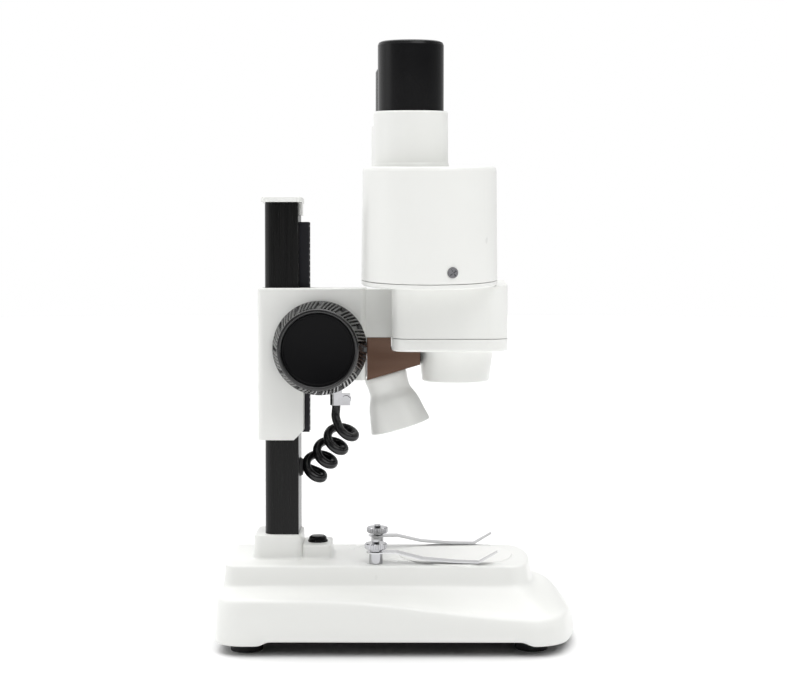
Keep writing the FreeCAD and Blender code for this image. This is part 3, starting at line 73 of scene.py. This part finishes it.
def new_material(name, colour, roughness, metallic=0.0, **sockets):
    """A Principled material whose even values sit on the shader's own sockets."""
    material = bpy.data.materials.new(name)
    material.use_nodes = True
    shader = material.node_tree.nodes["Principled BSDF"]
    shader.inputs["Base Color"].default_value = (*colour, 1)
    shader.inputs["Roughness"].default_value = roughness
    shader.inputs["Metallic"].default_value = metallic
    for socket, value in sockets.items():
        shader.inputs[socket.replace("_", " ")].default_value = value
    return material


def noise_field(material, size_mm, detail=3.0, stretch=(1, 1, 1)):
    """Noise over the object's own coordinates, with features about size_mm across."""
    tree = material.node_tree
    coordinates = tree.nodes.new("ShaderNodeTexCoord")
    mapping = tree.nodes.new("ShaderNodeMapping")
    mapping.inputs["Scale"].default_value = stretch
    noise = tree.nodes.new("ShaderNodeTexNoise")
    noise.inputs["Scale"].default_value = 1 / (size_mm * MM)
    noise.inputs["Detail"].default_value = detail
    tree.links.new(coordinates.outputs["Object"], mapping.inputs["Vector"])
    tree.links.new(mapping.outputs["Vector"], noise.inputs["Vector"])
    return noise.outputs["Fac"]


def vary_colour(material, low, high, size_mm, stretch=(1, 1, 1)):
    """Lets the base colour drift between two colours."""
    tree = material.node_tree
    ramp = tree.nodes.new("ShaderNodeValToRGB")
    ramp.color_ramp.elements[0].position = NOISE_SPAN[0]
    ramp.color_ramp.elements[0].color = (*low, 1)
    ramp.color_ramp.elements[1].position = NOISE_SPAN[1]
    ramp.color_ramp.elements[1].color = (*high, 1)
    tree.links.new(noise_field(material, size_mm, 4.0, stretch), ramp.inputs["Fac"])
    tree.links.new(ramp.outputs["Color"], tree.nodes["Principled BSDF"].inputs["Base Color"])


def vary_gloss(material, low, high, size_mm, stretch=(1, 1, 1)):
    """Lets the roughness drift, as handled surfaces do."""
    tree = material.node_tree
    noise = noise_field(material, size_mm, 3.0, stretch)
    gloss = fade(tree, noise, *NOISE_SPAN, low, high)
    tree.links.new(gloss, tree.nodes["Principled BSDF"].inputs["Roughness"])


def emboss(material, size_mm, depth_mm, strength=1.0, stretch=(1, 1, 1)):
    """Fine surface grain as a bump."""
    tree = material.node_tree
    bump = tree.nodes.new("ShaderNodeBump")
    bump.inputs["Strength"].default_value = strength
    bump.inputs["Distance"].default_value = depth_mm * MM
    tree.links.new(noise_field(material, size_mm, 2.0, stretch), bump.inputs["Height"])
    tree.links.new(bump.outputs["Normal"], tree.nodes["Principled BSDF"].inputs["Normal"])


def moulded(name, low, high, gloss, grain_mm, depth_mm, **sockets):
    """Moulded plastic: faint clouding, uneven gloss and a fine skin."""
    material = new_material(name, high, gloss[0], **sockets)
    vary_colour(material, low, high, 60)
    vary_gloss(material, gloss[0], gloss[1], 30)
    emboss(material, grain_mm, depth_mm)
    return material


def metal(name, low, high, gloss, grain_mm, depth_mm, stretch=(1, 1, 1)):
    """Metal with a drawn or plated surface."""
    material = new_material(name, high, gloss[0], metallic=1.0)
    vary_colour(material, low, high, 6, stretch)
    vary_gloss(material, gloss[0], gloss[1], 3, stretch)
    emboss(material, grain_mm, depth_mm, stretch=stretch)
    return material


def make_materials():
    """One material for each slot of the record."""
    made = {
        "white_plastic": moulded("white_plastic", (0.83, 0.835, 0.81), (0.84, 0.845, 0.82),
                                 (0.27, 0.32), 0.9, 0.002, Coat_Weight=0.1, Coat_Roughness=0.2),
        "stage_white": moulded("stage_white", (0.84, 0.84, 0.82), (0.86, 0.86, 0.84),
                               (0.42, 0.55), 0.35, 0.006),
        "black_plastic": moulded("black_plastic", (0.004, 0.004, 0.0045), (0.007, 0.007, 0.0075),
                                 (0.2, 0.28), 0.5, 0.003, Specular_IOR_Level=0.2),
        "black_gloss": moulded("black_gloss", (0.003, 0.003, 0.0035), (0.005, 0.005, 0.0055),
                               (0.16, 0.24), 0.6, 0.002, Specular_IOR_Level=0.08),
        "rack_black": moulded("rack_black", (0.006, 0.006, 0.009), (0.011, 0.011, 0.015),
                              (0.32, 0.45), 0.4, 0.004, Specular_IOR_Level=0.3),
        "nylon": moulded("nylon", (0.74, 0.73, 0.69), (0.8, 0.79, 0.75), (0.4, 0.5), 0.5, 0.006),
        "rubber": moulded("rubber", (0.012, 0.012, 0.013), (0.022, 0.022, 0.022),
                          (0.55, 0.75), 0.25, 0.02),
        "cord": moulded("cord", (0.005, 0.005, 0.006), (0.009, 0.009, 0.01), (0.2, 0.3), 0.7, 0.008),
        "cell": moulded("cell", (0.05, 0.09, 0.2), (0.08, 0.13, 0.27), (0.2, 0.3), 0.8, 0.004),
        "board": moulded("board", (0.02, 0.14, 0.06), (0.04, 0.2, 0.09), (0.3, 0.45), 0.6, 0.01),
        "chrome": metal("chrome", (0.4, 0.4, 0.41), (0.5, 0.5, 0.52), (0.06, 0.12), 0.3, 0.003),
        "steel": metal("steel", (0.16, 0.16, 0.17), (0.26, 0.26, 0.27), (0.2, 0.34), 0.2, 0.006),
        "knob_grip": moulded("knob_grip", (0.004, 0.004, 0.0045), (0.006, 0.006, 0.0065),
                             (0.16, 0.22), 0.5, 0.002, Specular_IOR_Level=0.75),
        "spring_steel": metal("spring_steel", (0.5, 0.5, 0.51), (0.64, 0.64, 0.65), (0.12, 0.22),
                              0.3, 0.003, stretch=(0.15, 1, 1)),
        # painted reflection: the bracket is plated steel, and its brown tint stands in for the brownish
        # surroundings it reflects
        "bracket_steel": metal("bracket_steel", (0.085, 0.05, 0.036), (0.14, 0.088, 0.066),
                               (0.1, 0.18), 0.35, 0.003, stretch=(0.2, 1, 1)),
    }
    anodised = new_material("black_anodised", (0.005, 0.005, 0.005), 0.28, Specular_IOR_Level=0.22)
    vary_colour(anodised, (0.003, 0.003, 0.003), (0.006, 0.006, 0.0058), 1.2, stretch=(1, 1, 0.02))
    vary_gloss(anodised, 0.24, 0.32, 0.6, stretch=(1, 1, 0.02))
    emboss(anodised, 0.25, 0.003, stretch=(1, 1, 0.02))
    made["black_anodised"] = anodised
    glass = new_material("glass", (0.96, 0.98, 0.97), 0.03, Transmission_Weight=1.0, IOR=1.5,
                         Coat_Weight=0.6, Coat_Roughness=0.02, Coat_Tint=(0.5, 0.75, 0.6, 1))
    vary_gloss(glass, 0.015, 0.05, 6)
    made["glass"] = glass
    led = new_material("led", (0.92, 0.92, 0.86), 0.12, Transmission_Weight=0.6, IOR=1.5)
    vary_gloss(led, 0.08, 0.2, 2)
    made["led"] = led
    return made


MATERIALS = make_materials()


def finish_cad_nodes():
    """Gives every carried-over node its slot's material."""
    for part in RECORD["subparts"]:
        mesh = frame["nodes"][part["node"]].data
        mesh.materials.clear()
        mesh.materials.append(MATERIALS[part["material_slot"]])


# ---------------------------------------------------------------- mesh helpers
def add_piece(name, verts, faces, body, slot, place=None, sharp=40):
    """A mesh piece from millimetre points, welded, smooth except at sharp edges, riding on a body."""
    mesh = bpy.data.meshes.new(name)
    mesh.from_pydata([Vector(v) * MM for v in verts], [], faces)
    work = bmesh.new()
    work.from_mesh(mesh)
    bmesh.ops.remove_doubles(work, verts=work.verts, dist=0.5e-6)
    bmesh.ops.recalc_face_normals(work, faces=work.faces)
    work.to_mesh(mesh)
    work.free()
    mesh.shade_smooth()
    mesh.set_sharp_from_angle(angle=math.radians(sharp))
    mesh.materials.append(MATERIALS[slot])
    piece = bpy.data.objects.new(name, mesh)
    bpy.context.scene.collection.objects.link(piece)
    if place is not None:
        mesh.transform(place)
    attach(piece, body)
    return piece


def join_rings(rings, closed_ends=True):
    """Quads between successive closed rings of equal length, with a face over each end."""
    count = len(rings[0])
    verts = [point for ring in rings for point in ring]
    faces = []
    for row in range(len(rings) - 1):
        for i in range(count):
            j = (i + 1) % count
            a, b = row * count, (row + 1) * count
            faces.append((a + i, a + j, b + j, b + i))
    if closed_ends:
        faces.append(tuple(range(count)))
        last = (len(rings) - 1) * count
        faces.append(tuple(reversed(range(last, last + count))))
    return verts, faces


def rounded(corners, steps=5):
    """A profile with arcs at its corners, from (across, along, radius) points."""
    points = []
    for i, (x, z, radius) in enumerate(corners):
        corner = Vector((x, z))
        if radius == 0 or i in (0, len(corners) - 1):
            points.append(corner)
            continue
        before = (Vector(corners[i - 1][:2]) - corner).normalized()
        after = (Vector(corners[i + 1][:2]) - corner).normalized()
        half = before.angle(after) / 2
        reach = radius / math.tan(half)
        start, end = corner + before * reach, corner + after * reach
        centre = corner + (before + after).normalized() * radius / math.sin(half)
        first, last = start - centre, end - centre
        sweep = first.angle_signed(last)
        for step in range(steps + 1):
            turn = Matrix.Rotation(-sweep * step / steps, 2)
            points.append(centre + turn @ first)
    return points


def spun(profile, segments=128):
    """Verts and faces of a profile of (radius, height) turned about Z."""
    rings = []
    for radius, height in profile:
        rings.append([(radius * math.cos(2 * math.pi * i / segments),
                       radius * math.sin(2 * math.pi * i / segments), height)
                      for i in range(segments)])
    return join_rings(rings, closed_ends=False)


# ---------------------------------------------------------------- camera, light, floor
def place_camera():
    data = bpy.data.cameras.new("camera")
    data.lens = 67.7
    data.sensor_width = 36
    camera = bpy.data.objects.new("camera", data)
    camera.location = (0.00085, -0.651, 0.1636)
    camera.rotation_euler = (math.radians(88.37), 0, math.radians(0.25))
    data.shift_y = -0.05
    bpy.context.scene.collection.objects.link(camera)
    bpy.context.scene.camera = camera


def area_light(name, location, target, width, height, watts):
    data = bpy.data.lights.new(name, "AREA")
    data.shape = "RECTANGLE"
    data.size = width
    data.size_y = height
    data.energy = watts
    light = bpy.data.objects.new(name, data)
    light.location = location
    light.rotation_euler = (Vector(target) - Vector(location)).to_track_quat("-Z", "Y").to_euler()
    bpy.context.scene.collection.objects.link(light)


def light_studio():
    """Soft boxes, a broad light above, and a white room that darkens to the front and right."""
    middle = (0, 0, 0.12)
    area_light("key", (0.5, -0.85, 1.05), middle, width=0.8, height=0.8, watts=5)
    area_light("fill", (-1.3, -0.15, 0.3), middle, width=0.5, height=1.0, watts=1)
    overhead = bpy.data.lights.new("overhead", "SUN")
    overhead.energy = 2.3
    overhead.angle = math.radians(80)
    bpy.context.scene.collection.objects.link(bpy.data.objects.new("overhead", overhead))
    light_world()
    bpy.context.scene.view_settings.view_transform = "Standard"


def combine(tree, operation, first, second):
    node = tree.nodes.new("ShaderNodeMath")
    node.operation = operation
    tree.links.new(first, node.inputs[0])
    tree.links.new(second, node.inputs[1])
    return node.outputs["Value"]


def light_world():
    """White all round, weaker in front and to the right except where the lens sees it directly."""
    world = bpy.data.worlds.new("studio")
    world.use_nodes = True
    tree = world.node_tree
    background = tree.nodes["Background"]
    background.inputs["Color"].default_value = (1, 1, 1, 1)
    coordinates = tree.nodes.new("ShaderNodeTexCoord")
    split = tree.nodes.new("ShaderNodeSeparateXYZ")
    tree.links.new(coordinates.outputs["Generated"], split.inputs["Vector"])
    depth = fade(tree, split.outputs["Y"], -0.9, 0.3, 0.08, 1.0)
    side = fade(tree, split.outputs["X"], -0.3, 0.9, 1.0, 0.35)
    room = combine(tree, "MULTIPLY", depth, side)
    path = tree.nodes.new("ShaderNodeLightPath")
    strength = combine(tree, "MAXIMUM", room, path.outputs["Is Camera Ray"])
    tree.links.new(strength, background.inputs["Strength"])
    bpy.context.scene.world = world


def lay_floor():
    """A wide pale floor under the feet."""
    mesh = bpy.data.meshes.new("floor")
    work = bmesh.new()
    bmesh.ops.create_circle(work, cap_ends=True, segments=96, radius=4)
    work.to_mesh(mesh)
    work.free()
    floor = bpy.data.objects.new("floor", mesh)
    material = new_material("floor", (0.93, 0.93, 0.93), 0.8)
    emboss(material, 3, 0.02, strength=0.3)
    mesh.materials.append(material)
    bpy.context.scene.collection.objects.link(floor)


# ---------------------------------------------------------------- cord
CORD_DIAMETER = 0.0038
COIL_TURNS, TURN_LEFT_OPEN, POINTS_PER_TURN = 4, 0.3, 14
COIL_RADIUS = 5.15
COIL_TOP = Vector((-21.5, 0, 92.9))
COIL_LOW = Vector((-40.2, 0, 68.7))
COIL_ACROSS = Vector((0.956, 0, -0.292))
COIL_NEAR = Vector((0, -0.82, -0.57))
CLAMP = Vector((-27.2, 0, 108.4))
GLAND = Vector((-43.4, 0, 74.2))


def cord_route():
    """Control points from the clamp, round the coil and into the gland, in millimetres."""
    route = [CLAMP, CLAMP - Vector((0, 0, 5)), CLAMP - Vector((0.1, 0, 9)),
             Vector((-27.7, -0.3, 96.4))]
    for step in range(1, int((COIL_TURNS - TURN_LEFT_OPEN) * POINTS_PER_TURN)):
        turn = step / POINTS_PER_TURN
        angle = math.pi - 2 * math.pi * turn
        centre = COIL_TOP.lerp(COIL_LOW, turn / COIL_TURNS)
        route.append(centre + COIL_RADIUS * (math.cos(angle) * COIL_ACROSS
                                             + math.sin(angle) * COIL_NEAR))
    return route + [Vector((-40.6, 3.4, 73.6)), Vector((-41.6, 1.2, 74.2)), GLAND]


def make_cord():
    route = cord_route()
    curve = bpy.data.curves.new("cord_line", "CURVE")
    curve.dimensions = "3D"
    spline = curve.splines.new("NURBS")
    spline.points.add(len(route) - 1)
    for point, at in zip(spline.points, route):
        point.co = (*(at * MM), 1)
    spline.order_u = 3
    spline.use_endpoint_u = True
    spline.resolution_u = 6
    holder = bpy.data.objects.new("cord_line", curve)
    bpy.context.scene.collection.objects.link(holder)
    line = bpy.data.meshes.new_from_object(holder)
    path = [line.vertices[0].co.copy()]
    for vertex in line.vertices[1:]:
        if (vertex.co - path[-1]).length > 0.1 * MM:
            path.append(vertex.co.copy())
    curve.bevel_depth = CORD_DIAMETER / 2
    curve.bevel_resolution = 6
    curve.use_fill_caps = True
    tube = bpy.data.meshes.new_from_object(holder)
    bpy.data.objects.remove(holder)
    tube.shade_smooth()
    tube.materials.clear()
    tube.materials.append(MATERIALS["cord"])
    cord = bpy.data.objects.new("lamp_cord", tube)
    bpy.context.scene.collection.objects.link(cord)
    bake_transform(cord)
    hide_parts("cord_lead", "cord_coil")


# ---------------------------------------------------------------- base
LENGTH, WIDTH, WALL = 154.5, 82, 2.4
DECK, DECK_WIDTH, DECK_REAR, DECK_FRONT = 35.3, 50, -73.9, 57.6
WALL_FOOT, RIDGE_REAR, RIDGE_FRONT = 27, 24, 16
SKIRT_EDGE, LOBE_EDGE, REAR_LOBE, FRONT_LOBE = 6.3, 4.5, -56.6, 54.3
COLLAR_X, COLLAR_TOP, COLLAR_HALF_DEEP, COLLAR_HALF_WIDE = -52.2, 46, 10.6, 11.9
BOSS_X, BOSS_TOP, BOSS_HALF_DEEP, BOSS_HALF_WIDE = -35.4, 41.2, 6.5, 10.9
REAR_STEPS, CORNER_STEPS, SIDE_STEPS, NOSE_STEPS = 6, 10, 60, 8


def smooth_step(share):
    share = min(max(share, 0), 1)
    return share * share * (3 - 2 * share)


def half_plan(rear, front, half_width, rear_round, front_round, front_angle):
    """Half of the base's outline, rear middle to front middle: a side, two arcs and a bowed front."""
    nose_y = half_width - front_round * (1 - math.sin(front_angle))
    bulge = math.tan(front_angle) * nose_y / 2
    arc_x = front - bulge - front_round * math.cos(front_angle)
    points = [(rear, (half_width - rear_round) * step / REAR_STEPS) for step in range(REAR_STEPS)]
    for step in range(CORNER_STEPS + 1):
        angle = math.pi - math.pi / 2 * step / CORNER_STEPS
        points.append((rear + rear_round * (1 + math.cos(angle)),
                       half_width - rear_round * (1 - math.sin(angle))))
    side_start = rear + rear_round
    for step in range(1, SIDE_STEPS):
        points.append((side_start + (arc_x - side_start) * step / SIDE_STEPS, half_width))
    for step in range(CORNER_STEPS + 1):
        angle = math.pi / 2 + (front_angle - math.pi / 2) * step / CORNER_STEPS
        points.append((arc_x + front_round * math.cos(angle),
                       half_width - front_round * (1 - math.sin(angle))))
    for step in range(1, NOSE_STEPS + 1):
        y = nose_y * (1 - step / NOSE_STEPS)
        points.append((front - bulge * (y / nose_y) ** 2, y))
    return points


def skirt_plan(draw, inset):
    """Outline of the skirt, drawn in from its widest line and inset for the inner face."""
    draw += inset
    return half_plan(-LENGTH / 2 + draw * 0.6 + inset * 0.4, LENGTH / 2 - draw, WIDTH / 2 - draw,
                     12, 16, math.radians(20))


def deck_plan(grow, inset):
    """Outline of the raised deck, grown from its edge and inset for the inner face."""
    grow -= inset
    return half_plan(DECK_REAR - grow * 0.5, DECK_FRONT + grow, DECK_WIDTH / 2 + grow,
                     max(4.5 + grow, 2.2), 9, math.radians(14))


def mix_plans(outer, inner, share):
    return [(a[0] + (b[0] - a[0]) * share, a[1] + (b[1] - a[1]) * share)
            for a, b in zip(outer, inner)]


def lower_edge(x):
    """Height of the skirt's edge: lower at the corner lobes, with rounded shoulders."""
    lobes = smooth_step((REAR_LOBE - x) / 1.6 + 0.5) + smooth_step((x - FRONT_LOBE) / 1.6 + 0.5)
    return SKIRT_EDGE + (LOBE_EDGE - SKIRT_EDGE) * lobes


def base_rings(inset=0.0):
    """Closed rings of the base's skin from its lower edge up to its deck."""
    foot, top = WALL_FOOT - inset, DECK - inset

    def ridge(x):
        return RIDGE_REAR + (RIDGE_FRONT - RIDGE_REAR) * smooth_step((x + 35) / 100) - inset

    def nose(x, y):
        """How far a point is on the swell of the front's middle."""
        return smooth_step((x - 54) / 8) * (1 - smooth_step(abs(y) / 32))

    skirt, wall = skirt_plan(3.4, inset), deck_plan(2.2, inset)
    levels = [
        (skirt_plan(0.45, inset), lambda x, y: lower_edge(x)),
        (skirt_plan(0.1, inset), lambda x, y: lower_edge(x) + 0.35),
        (skirt_plan(0, inset), lambda x, y: lower_edge(x) + 1.4),
        (skirt_plan(0.5, inset), lambda x, y: ridge(x) * 0.55 + 2.5 - 1.2 * nose(x, y)),
        (skirt_plan(1.1, inset), lambda x, y: ridge(x) - 3.2 - 1.8 * nose(x, y)),
        (skirt_plan(1.7, inset), lambda x, y: ridge(x) - 1.3 - 2.2 * nose(x, y)),
        (skirt_plan(2.5, inset), lambda x, y: ridge(x) - 0.25 - 1.4 * nose(x, y)),
        (skirt_plan(3.9, inset), lambda x, y: ridge(x) + 0.2 * nose(x, y)),
        (mix_plans(skirt, wall, 0.4),
         lambda x, y: ridge(x) * 0.7 + foot * 0.3 - 0.2 + 4.2 * nose(x, y)),
        (mix_plans(skirt, wall, 0.7),
         lambda x, y: ridge(x) * 0.4 + foot * 0.6 - 0.7 + 4.4 * nose(x, y)),
        (mix_plans(skirt, wall, 0.92),
         lambda x, y: ridge(x) * 0.12 + foot * 0.88 - 0.7 + 1.7 * nose(x, y)),
        (deck_plan(1.75, inset), lambda x, y: foot - 0.3 + 0.5 * nose(x, y)),
        (deck_plan(1.3, inset), lambda x, y: foot + 0.9),
        (deck_plan(0.7, inset), lambda x, y: (foot + top) / 2),
        (deck_plan(0.15, inset), lambda x, y: top - 1.5),
        (deck_plan(-0.05, inset), lambda x, y: top - 0.75),
        (deck_plan(-0.35, inset), lambda x, y: top - 0.25),
        (deck_plan(-1.0, inset), lambda x, y: top),
        (deck_plan(-1.8, inset), lambda x, y: top),
    ]
    return [[(x, y, height(x, y)) for x, y in half + [(x, -y) for x, y in reversed(half[1:-1])]]
            for half, height in levels]


def make_base():
    outer = base_rings()
    inner = base_rings(WALL)
    verts, faces = join_rings(list(reversed(inner)) + outer)
    shell = add_piece("base_cover", verts, faces, "base", "white_plastic", sharp=60)
    smooth = shell.modifiers.new("smooth", "SUBSURF")
    smooth.render_levels = 1
    smooth.levels = 1
    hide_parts("base_shell")


def rounded_plan(centre_x, half_x, half_y, radius, steps=8):
    """A rectangle with round corners, as (x, y) points."""
    points = []
    for corner in range(4):
        sign_x, sign_y = ((1, 1), (-1, 1), (-1, -1), (1, -1))[corner]
        for step in range(steps + 1):
            angle = math.pi / 2 * (corner + step / steps)
            points.append((centre_x + sign_x * (half_x - radius) + radius * math.cos(angle),
                           sign_y * (half_y - radius) + radius * math.sin(angle)))
    return points


def stepped_block(centre_x, half_x, half_y, radius, profile):
    """Rings of a rounded rectangle that grows by each (grow, height) of a profile."""
    rings = []
    for grow, height in profile:
        plan = rounded_plan(centre_x, half_x + grow, half_y + grow, max(radius + grow, 0.3))
        rings.append([(x, y, height) for x, y in plan])
    return join_rings(rings)


def rounded_edge(top, radius, draw, steps):
    """(grow, height) points of an edge that rounds over to a flat top."""
    return [(radius * math.cos(angle) - draw, top - radius + radius * math.sin(angle))
            for angle in (math.pi / 2 * step / steps for step in range(steps + 1))]


def make_base_bosses():
    """The collar round the column's foot and the boss that carries the switch."""
    foot = [(1.6, DECK - 1), (1.5, DECK), (0.9, DECK + 0.12), (0.35, DECK + 0.5), (0.1, DECK + 1.3)]
    profile = foot + rounded_edge(COLLAR_TOP, 0.9, 1.1, 5)
    verts, faces = stepped_block(COLLAR_X, COLLAR_HALF_DEEP, COLLAR_HALF_WIDE, 3.7, profile)
    add_piece("column_collar", verts, faces, "base", "white_plastic")
    profile = foot + rounded_edge(BOSS_TOP, 0.6, 0.8, 4)
    verts, faces = stepped_block(BOSS_X, BOSS_HALF_DEEP, BOSS_HALF_WIDE, 2.2, profile)
    add_piece("switch_boss", verts, faces, "base", "white_plastic")


# ---------------------------------------------------------------- column
COLUMN_REAR, COLUMN_FRONT, COLUMN_HALF, COLUMN_TOP, COLUMN_FOOT = -58, -43.2, 10.4, 190.4, 20
COLUMN_ROUND, COLUMN_CRISP, COLUMN_WALL, COLUMN_STEPS = 4.6, 0.6, 2, 12


def column_plan(shrink=0.0):
    """The column's outline, with broad rear corners and crisp front ones."""
    points = []
    for sign_x, sign_y, radius, first in ((1, 1, COLUMN_CRISP, 0), (-1, 1, COLUMN_ROUND, 1),
                                          (-1, -1, COLUMN_ROUND, 2), (1, -1, COLUMN_CRISP, 3)):
        x = (COLUMN_FRONT if sign_x > 0 else COLUMN_REAR) - sign_x * (radius + shrink)
        y = sign_y * (COLUMN_HALF - radius - shrink)
        for step in range(COLUMN_STEPS + 1):
            angle = math.pi / 2 * (first + step / COLUMN_STEPS)
            points.append((x + radius * math.cos(angle), y + radius * math.sin(angle)))
    return points


def make_column():
    """A closed tube: its outside with broken end edges, and its bore."""
    levels = [(0.15, COLUMN_FOOT), (0, COLUMN_FOOT + 0.2), (0, COLUMN_TOP - 0.2), (0.15, COLUMN_TOP)]
    rings = [[(x, y, z) for x, y in column_plan(shrink)] for shrink, z in levels]
    middle = (COLUMN_REAR + COLUMN_FRONT) / 2
    half_deep = (COLUMN_FRONT - COLUMN_REAR) / 2 - COLUMN_WALL
    bore = rounded_plan(middle, half_deep, COLUMN_HALF - COLUMN_WALL, 1, COLUMN_STEPS)
    inner = [[(x, y, z) for x, y in bore] for z in (COLUMN_TOP, COLUMN_FOOT)]
    verts, faces = join_rings(rings + inner, closed_ends=False)
    count, last = len(rings[0]), len(rings) + len(inner) - 1
    faces += [(last * count + i, last * count + (i + 1) % count, (i + 1) % count, i)
              for i in range(count)]
    column = add_piece("column_tube", verts, faces, "base", "black_anodised", sharp=30)
    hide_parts("column")


# ---------------------------------------------------------------- focus knobs
KNOB_INNER, KNOB_OUTER, KNOB_RADIUS = 17.2, 34, 20.4
RIB_GROUPS, RIBS_IN_GROUP = 12, 5
RIB_DEPTH, RIB_END = 1.25, 0.85
ROWS_ALONG_RIB, COLUMNS_PER_RIB = 20, 10
DISC_RADIUS, DISC_DEPTH = 15.3, 1.35
RIB_LEAN = math.radians(6)
BAND_LOW, BAND_HIGH = Vector((19.15, 18.6)), Vector((16.2, 32.4))


def rib_height(angle, share):
    """Height of the grip ribs: slanted groups of steep ridges, a plain gap, and closed ends."""
    pitches = RIB_GROUPS * (RIBS_IN_GROUP + 1)
    place = (angle - RIB_LEAN * share) / (2 * math.pi) * pitches
    if math.floor(place) % (RIBS_IN_GROUP + 1) == RIBS_IN_GROUP:
        ridge = 0.0
    else:
        ridge = min(1.3 * math.sin(math.pi * (place % 1)) ** 1.5, 1.0)
    closed = 1 - smooth_step(share / 0.05) * smooth_step((1 - share) / 0.08)
    return RIB_DEPTH * max(ridge, RIB_END * closed)


def knob_mesh():
    """Rings of the knob about its axis, Z pointing away from the carriage."""
    columns = RIB_GROUPS * (RIBS_IN_GROUP + 1) * COLUMNS_PER_RIB
    end_rise = RIB_DEPTH * RIB_END
    back = rounded([(3, KNOB_INNER, 0), (KNOB_RADIUS - 0.3, KNOB_INNER, 0.5),
                    (KNOB_RADIUS - 0.1, KNOB_INNER + 0.9, 0.2),
                    (BAND_LOW.x + end_rise, BAND_LOW.y, 0)])
    front = rounded([(BAND_HIGH.x + end_rise, BAND_HIGH.y, 0), (17.15, KNOB_OUTER, 0.6),
                     (15.9, KNOB_OUTER, 0.25), (15.45, KNOB_OUTER - 0.5, 0.2),
                     (15.4, KNOB_OUTER - 2.6, 0)])
    rings = []

    def ring(radius, height, share=None):
        points = []
        for i in range(columns):
            angle = 2 * math.pi * i / columns
            reach = radius + (rib_height(angle, share) if share is not None else 0)
            points.append((reach * math.cos(angle), reach * math.sin(angle), height))
        rings.append(points)

    for radius, height in back:
        ring(radius, height)
    for row in range(1, ROWS_ALONG_RIB):
        share = row / ROWS_ALONG_RIB
        at = BAND_LOW.lerp(BAND_HIGH, share)
        ring(at.x, at.y, share)
    for radius, height in front:
        ring(radius, height)
    return join_rings(rings, closed_ends=False)


def make_knobs():
    """Both knobs and the plain discs in their faces."""
    centre = Matrix.Translation(JOINTS["knob_turn"]["pos_m"])
    verts, faces = knob_mesh()
    face = rounded([(0, KNOB_OUTER - 2.6, 0), (DISC_RADIUS, KNOB_OUTER - 2.6, 0),
                    (DISC_RADIUS, KNOB_OUTER - 0.7, 0.3), (DISC_RADIUS - 0.8, KNOB_OUTER - 0.9, 0.3),
                    (DISC_RADIUS - 1, KNOB_OUTER - 1.3, 0.15), (0, KNOB_OUTER - DISC_DEPTH, 0)])
    for name, sign in SIDES:
        place = centre @ Matrix.Rotation(-sign * math.pi / 2, 4, "X")
        knob = add_piece(f"knob_{name}", verts, faces, "focus_drive", "black_plastic", place, 30)
        knob.data.materials[0] = MATERIALS["knob_grip"]
        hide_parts(f"focus_knob_{name}")
        disc = add_piece(f"knob_disc_{name}", *spun(face), "focus_drive", "black_gloss", place, 30)
        if sign < 0:
            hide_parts("knob_faces")


# ---------------------------------------------------------------- lamp
LAMP_TILT = math.radians(16.5)
LAMP_START = Vector((-5.8, 0, 115.5))


def lamp_place():
    """Frame of the lamp: Z points out of its mouth, down and forward."""
    axis = Vector((math.sin(LAMP_TILT), 0, -math.cos(LAMP_TILT)))
    turn = Vector((0, 0, 1)).rotation_difference(axis).to_matrix().to_4x4()
    return Matrix.Translation(LAMP_START * MM) @ turn


def bell_curve(points, steps=6):
    """A smooth curve through (radius, height) points."""
    smooth = []
    count = len(points)
    for i in range(count - 1):
        before, start = points[max(i - 1, 0)], points[i]
        end, after = points[i + 1], points[min(i + 2, count - 1)]
        for step in range(steps):
            t = step / steps
            smooth.append(tuple(
                0.5 * (2 * b + (c - a) * t + (2 * a - 5 * b + 4 * c - d) * t * t
                       + (3 * b - a - 3 * c + d) * t ** 3)
                for a, b, c, d in zip(before, start, end, after)))
    return smooth + [points[-1]]


def make_shade():
    """The lamp's bell: a short neck, a swelling shoulder and an even flare to its mouth."""
    outside = bell_curve([(9.4, 1.8), (9.1, 4.5), (9, 7.4), (9.45, 9.3), (10.6, 11.8), (11.4, 14.5),
                          (12.1, 18), (13.3, 23.7)])
    inside = bell_curve([(12.3, 23.7), (11.1, 18), (10.4, 14.5), (9.5, 11.8), (8.4, 9.3), (7.8, 7.4),
                         (7.6, 4.5), (7.6, 1.6)])
    neck = rounded([(3.4, -1, 0), (5, -1, 0.2), (5, 0, 0.2), (9.3, 0, 0.9), (9.4, 1.8, 0)])[:-1]
    rim = [(13.35, 24.1), (13.2, 24.35), (12.9, 24.4), (12.6, 24.3), (12.4, 24.1)]
    profile = neck + outside + rim + inside + [(3.4, 1.6), (3.4, -1)]
    shade = add_piece("lamp_bell", *spun(profile), "carriage", "white_plastic", lamp_place(), 50)
    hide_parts("lamp_shade")


place_camera()
light_studio()
lay_floor()
finish_cad_nodes()
make_cord()
make_base()
make_base_bosses()
make_column()
make_knobs()
make_shade()
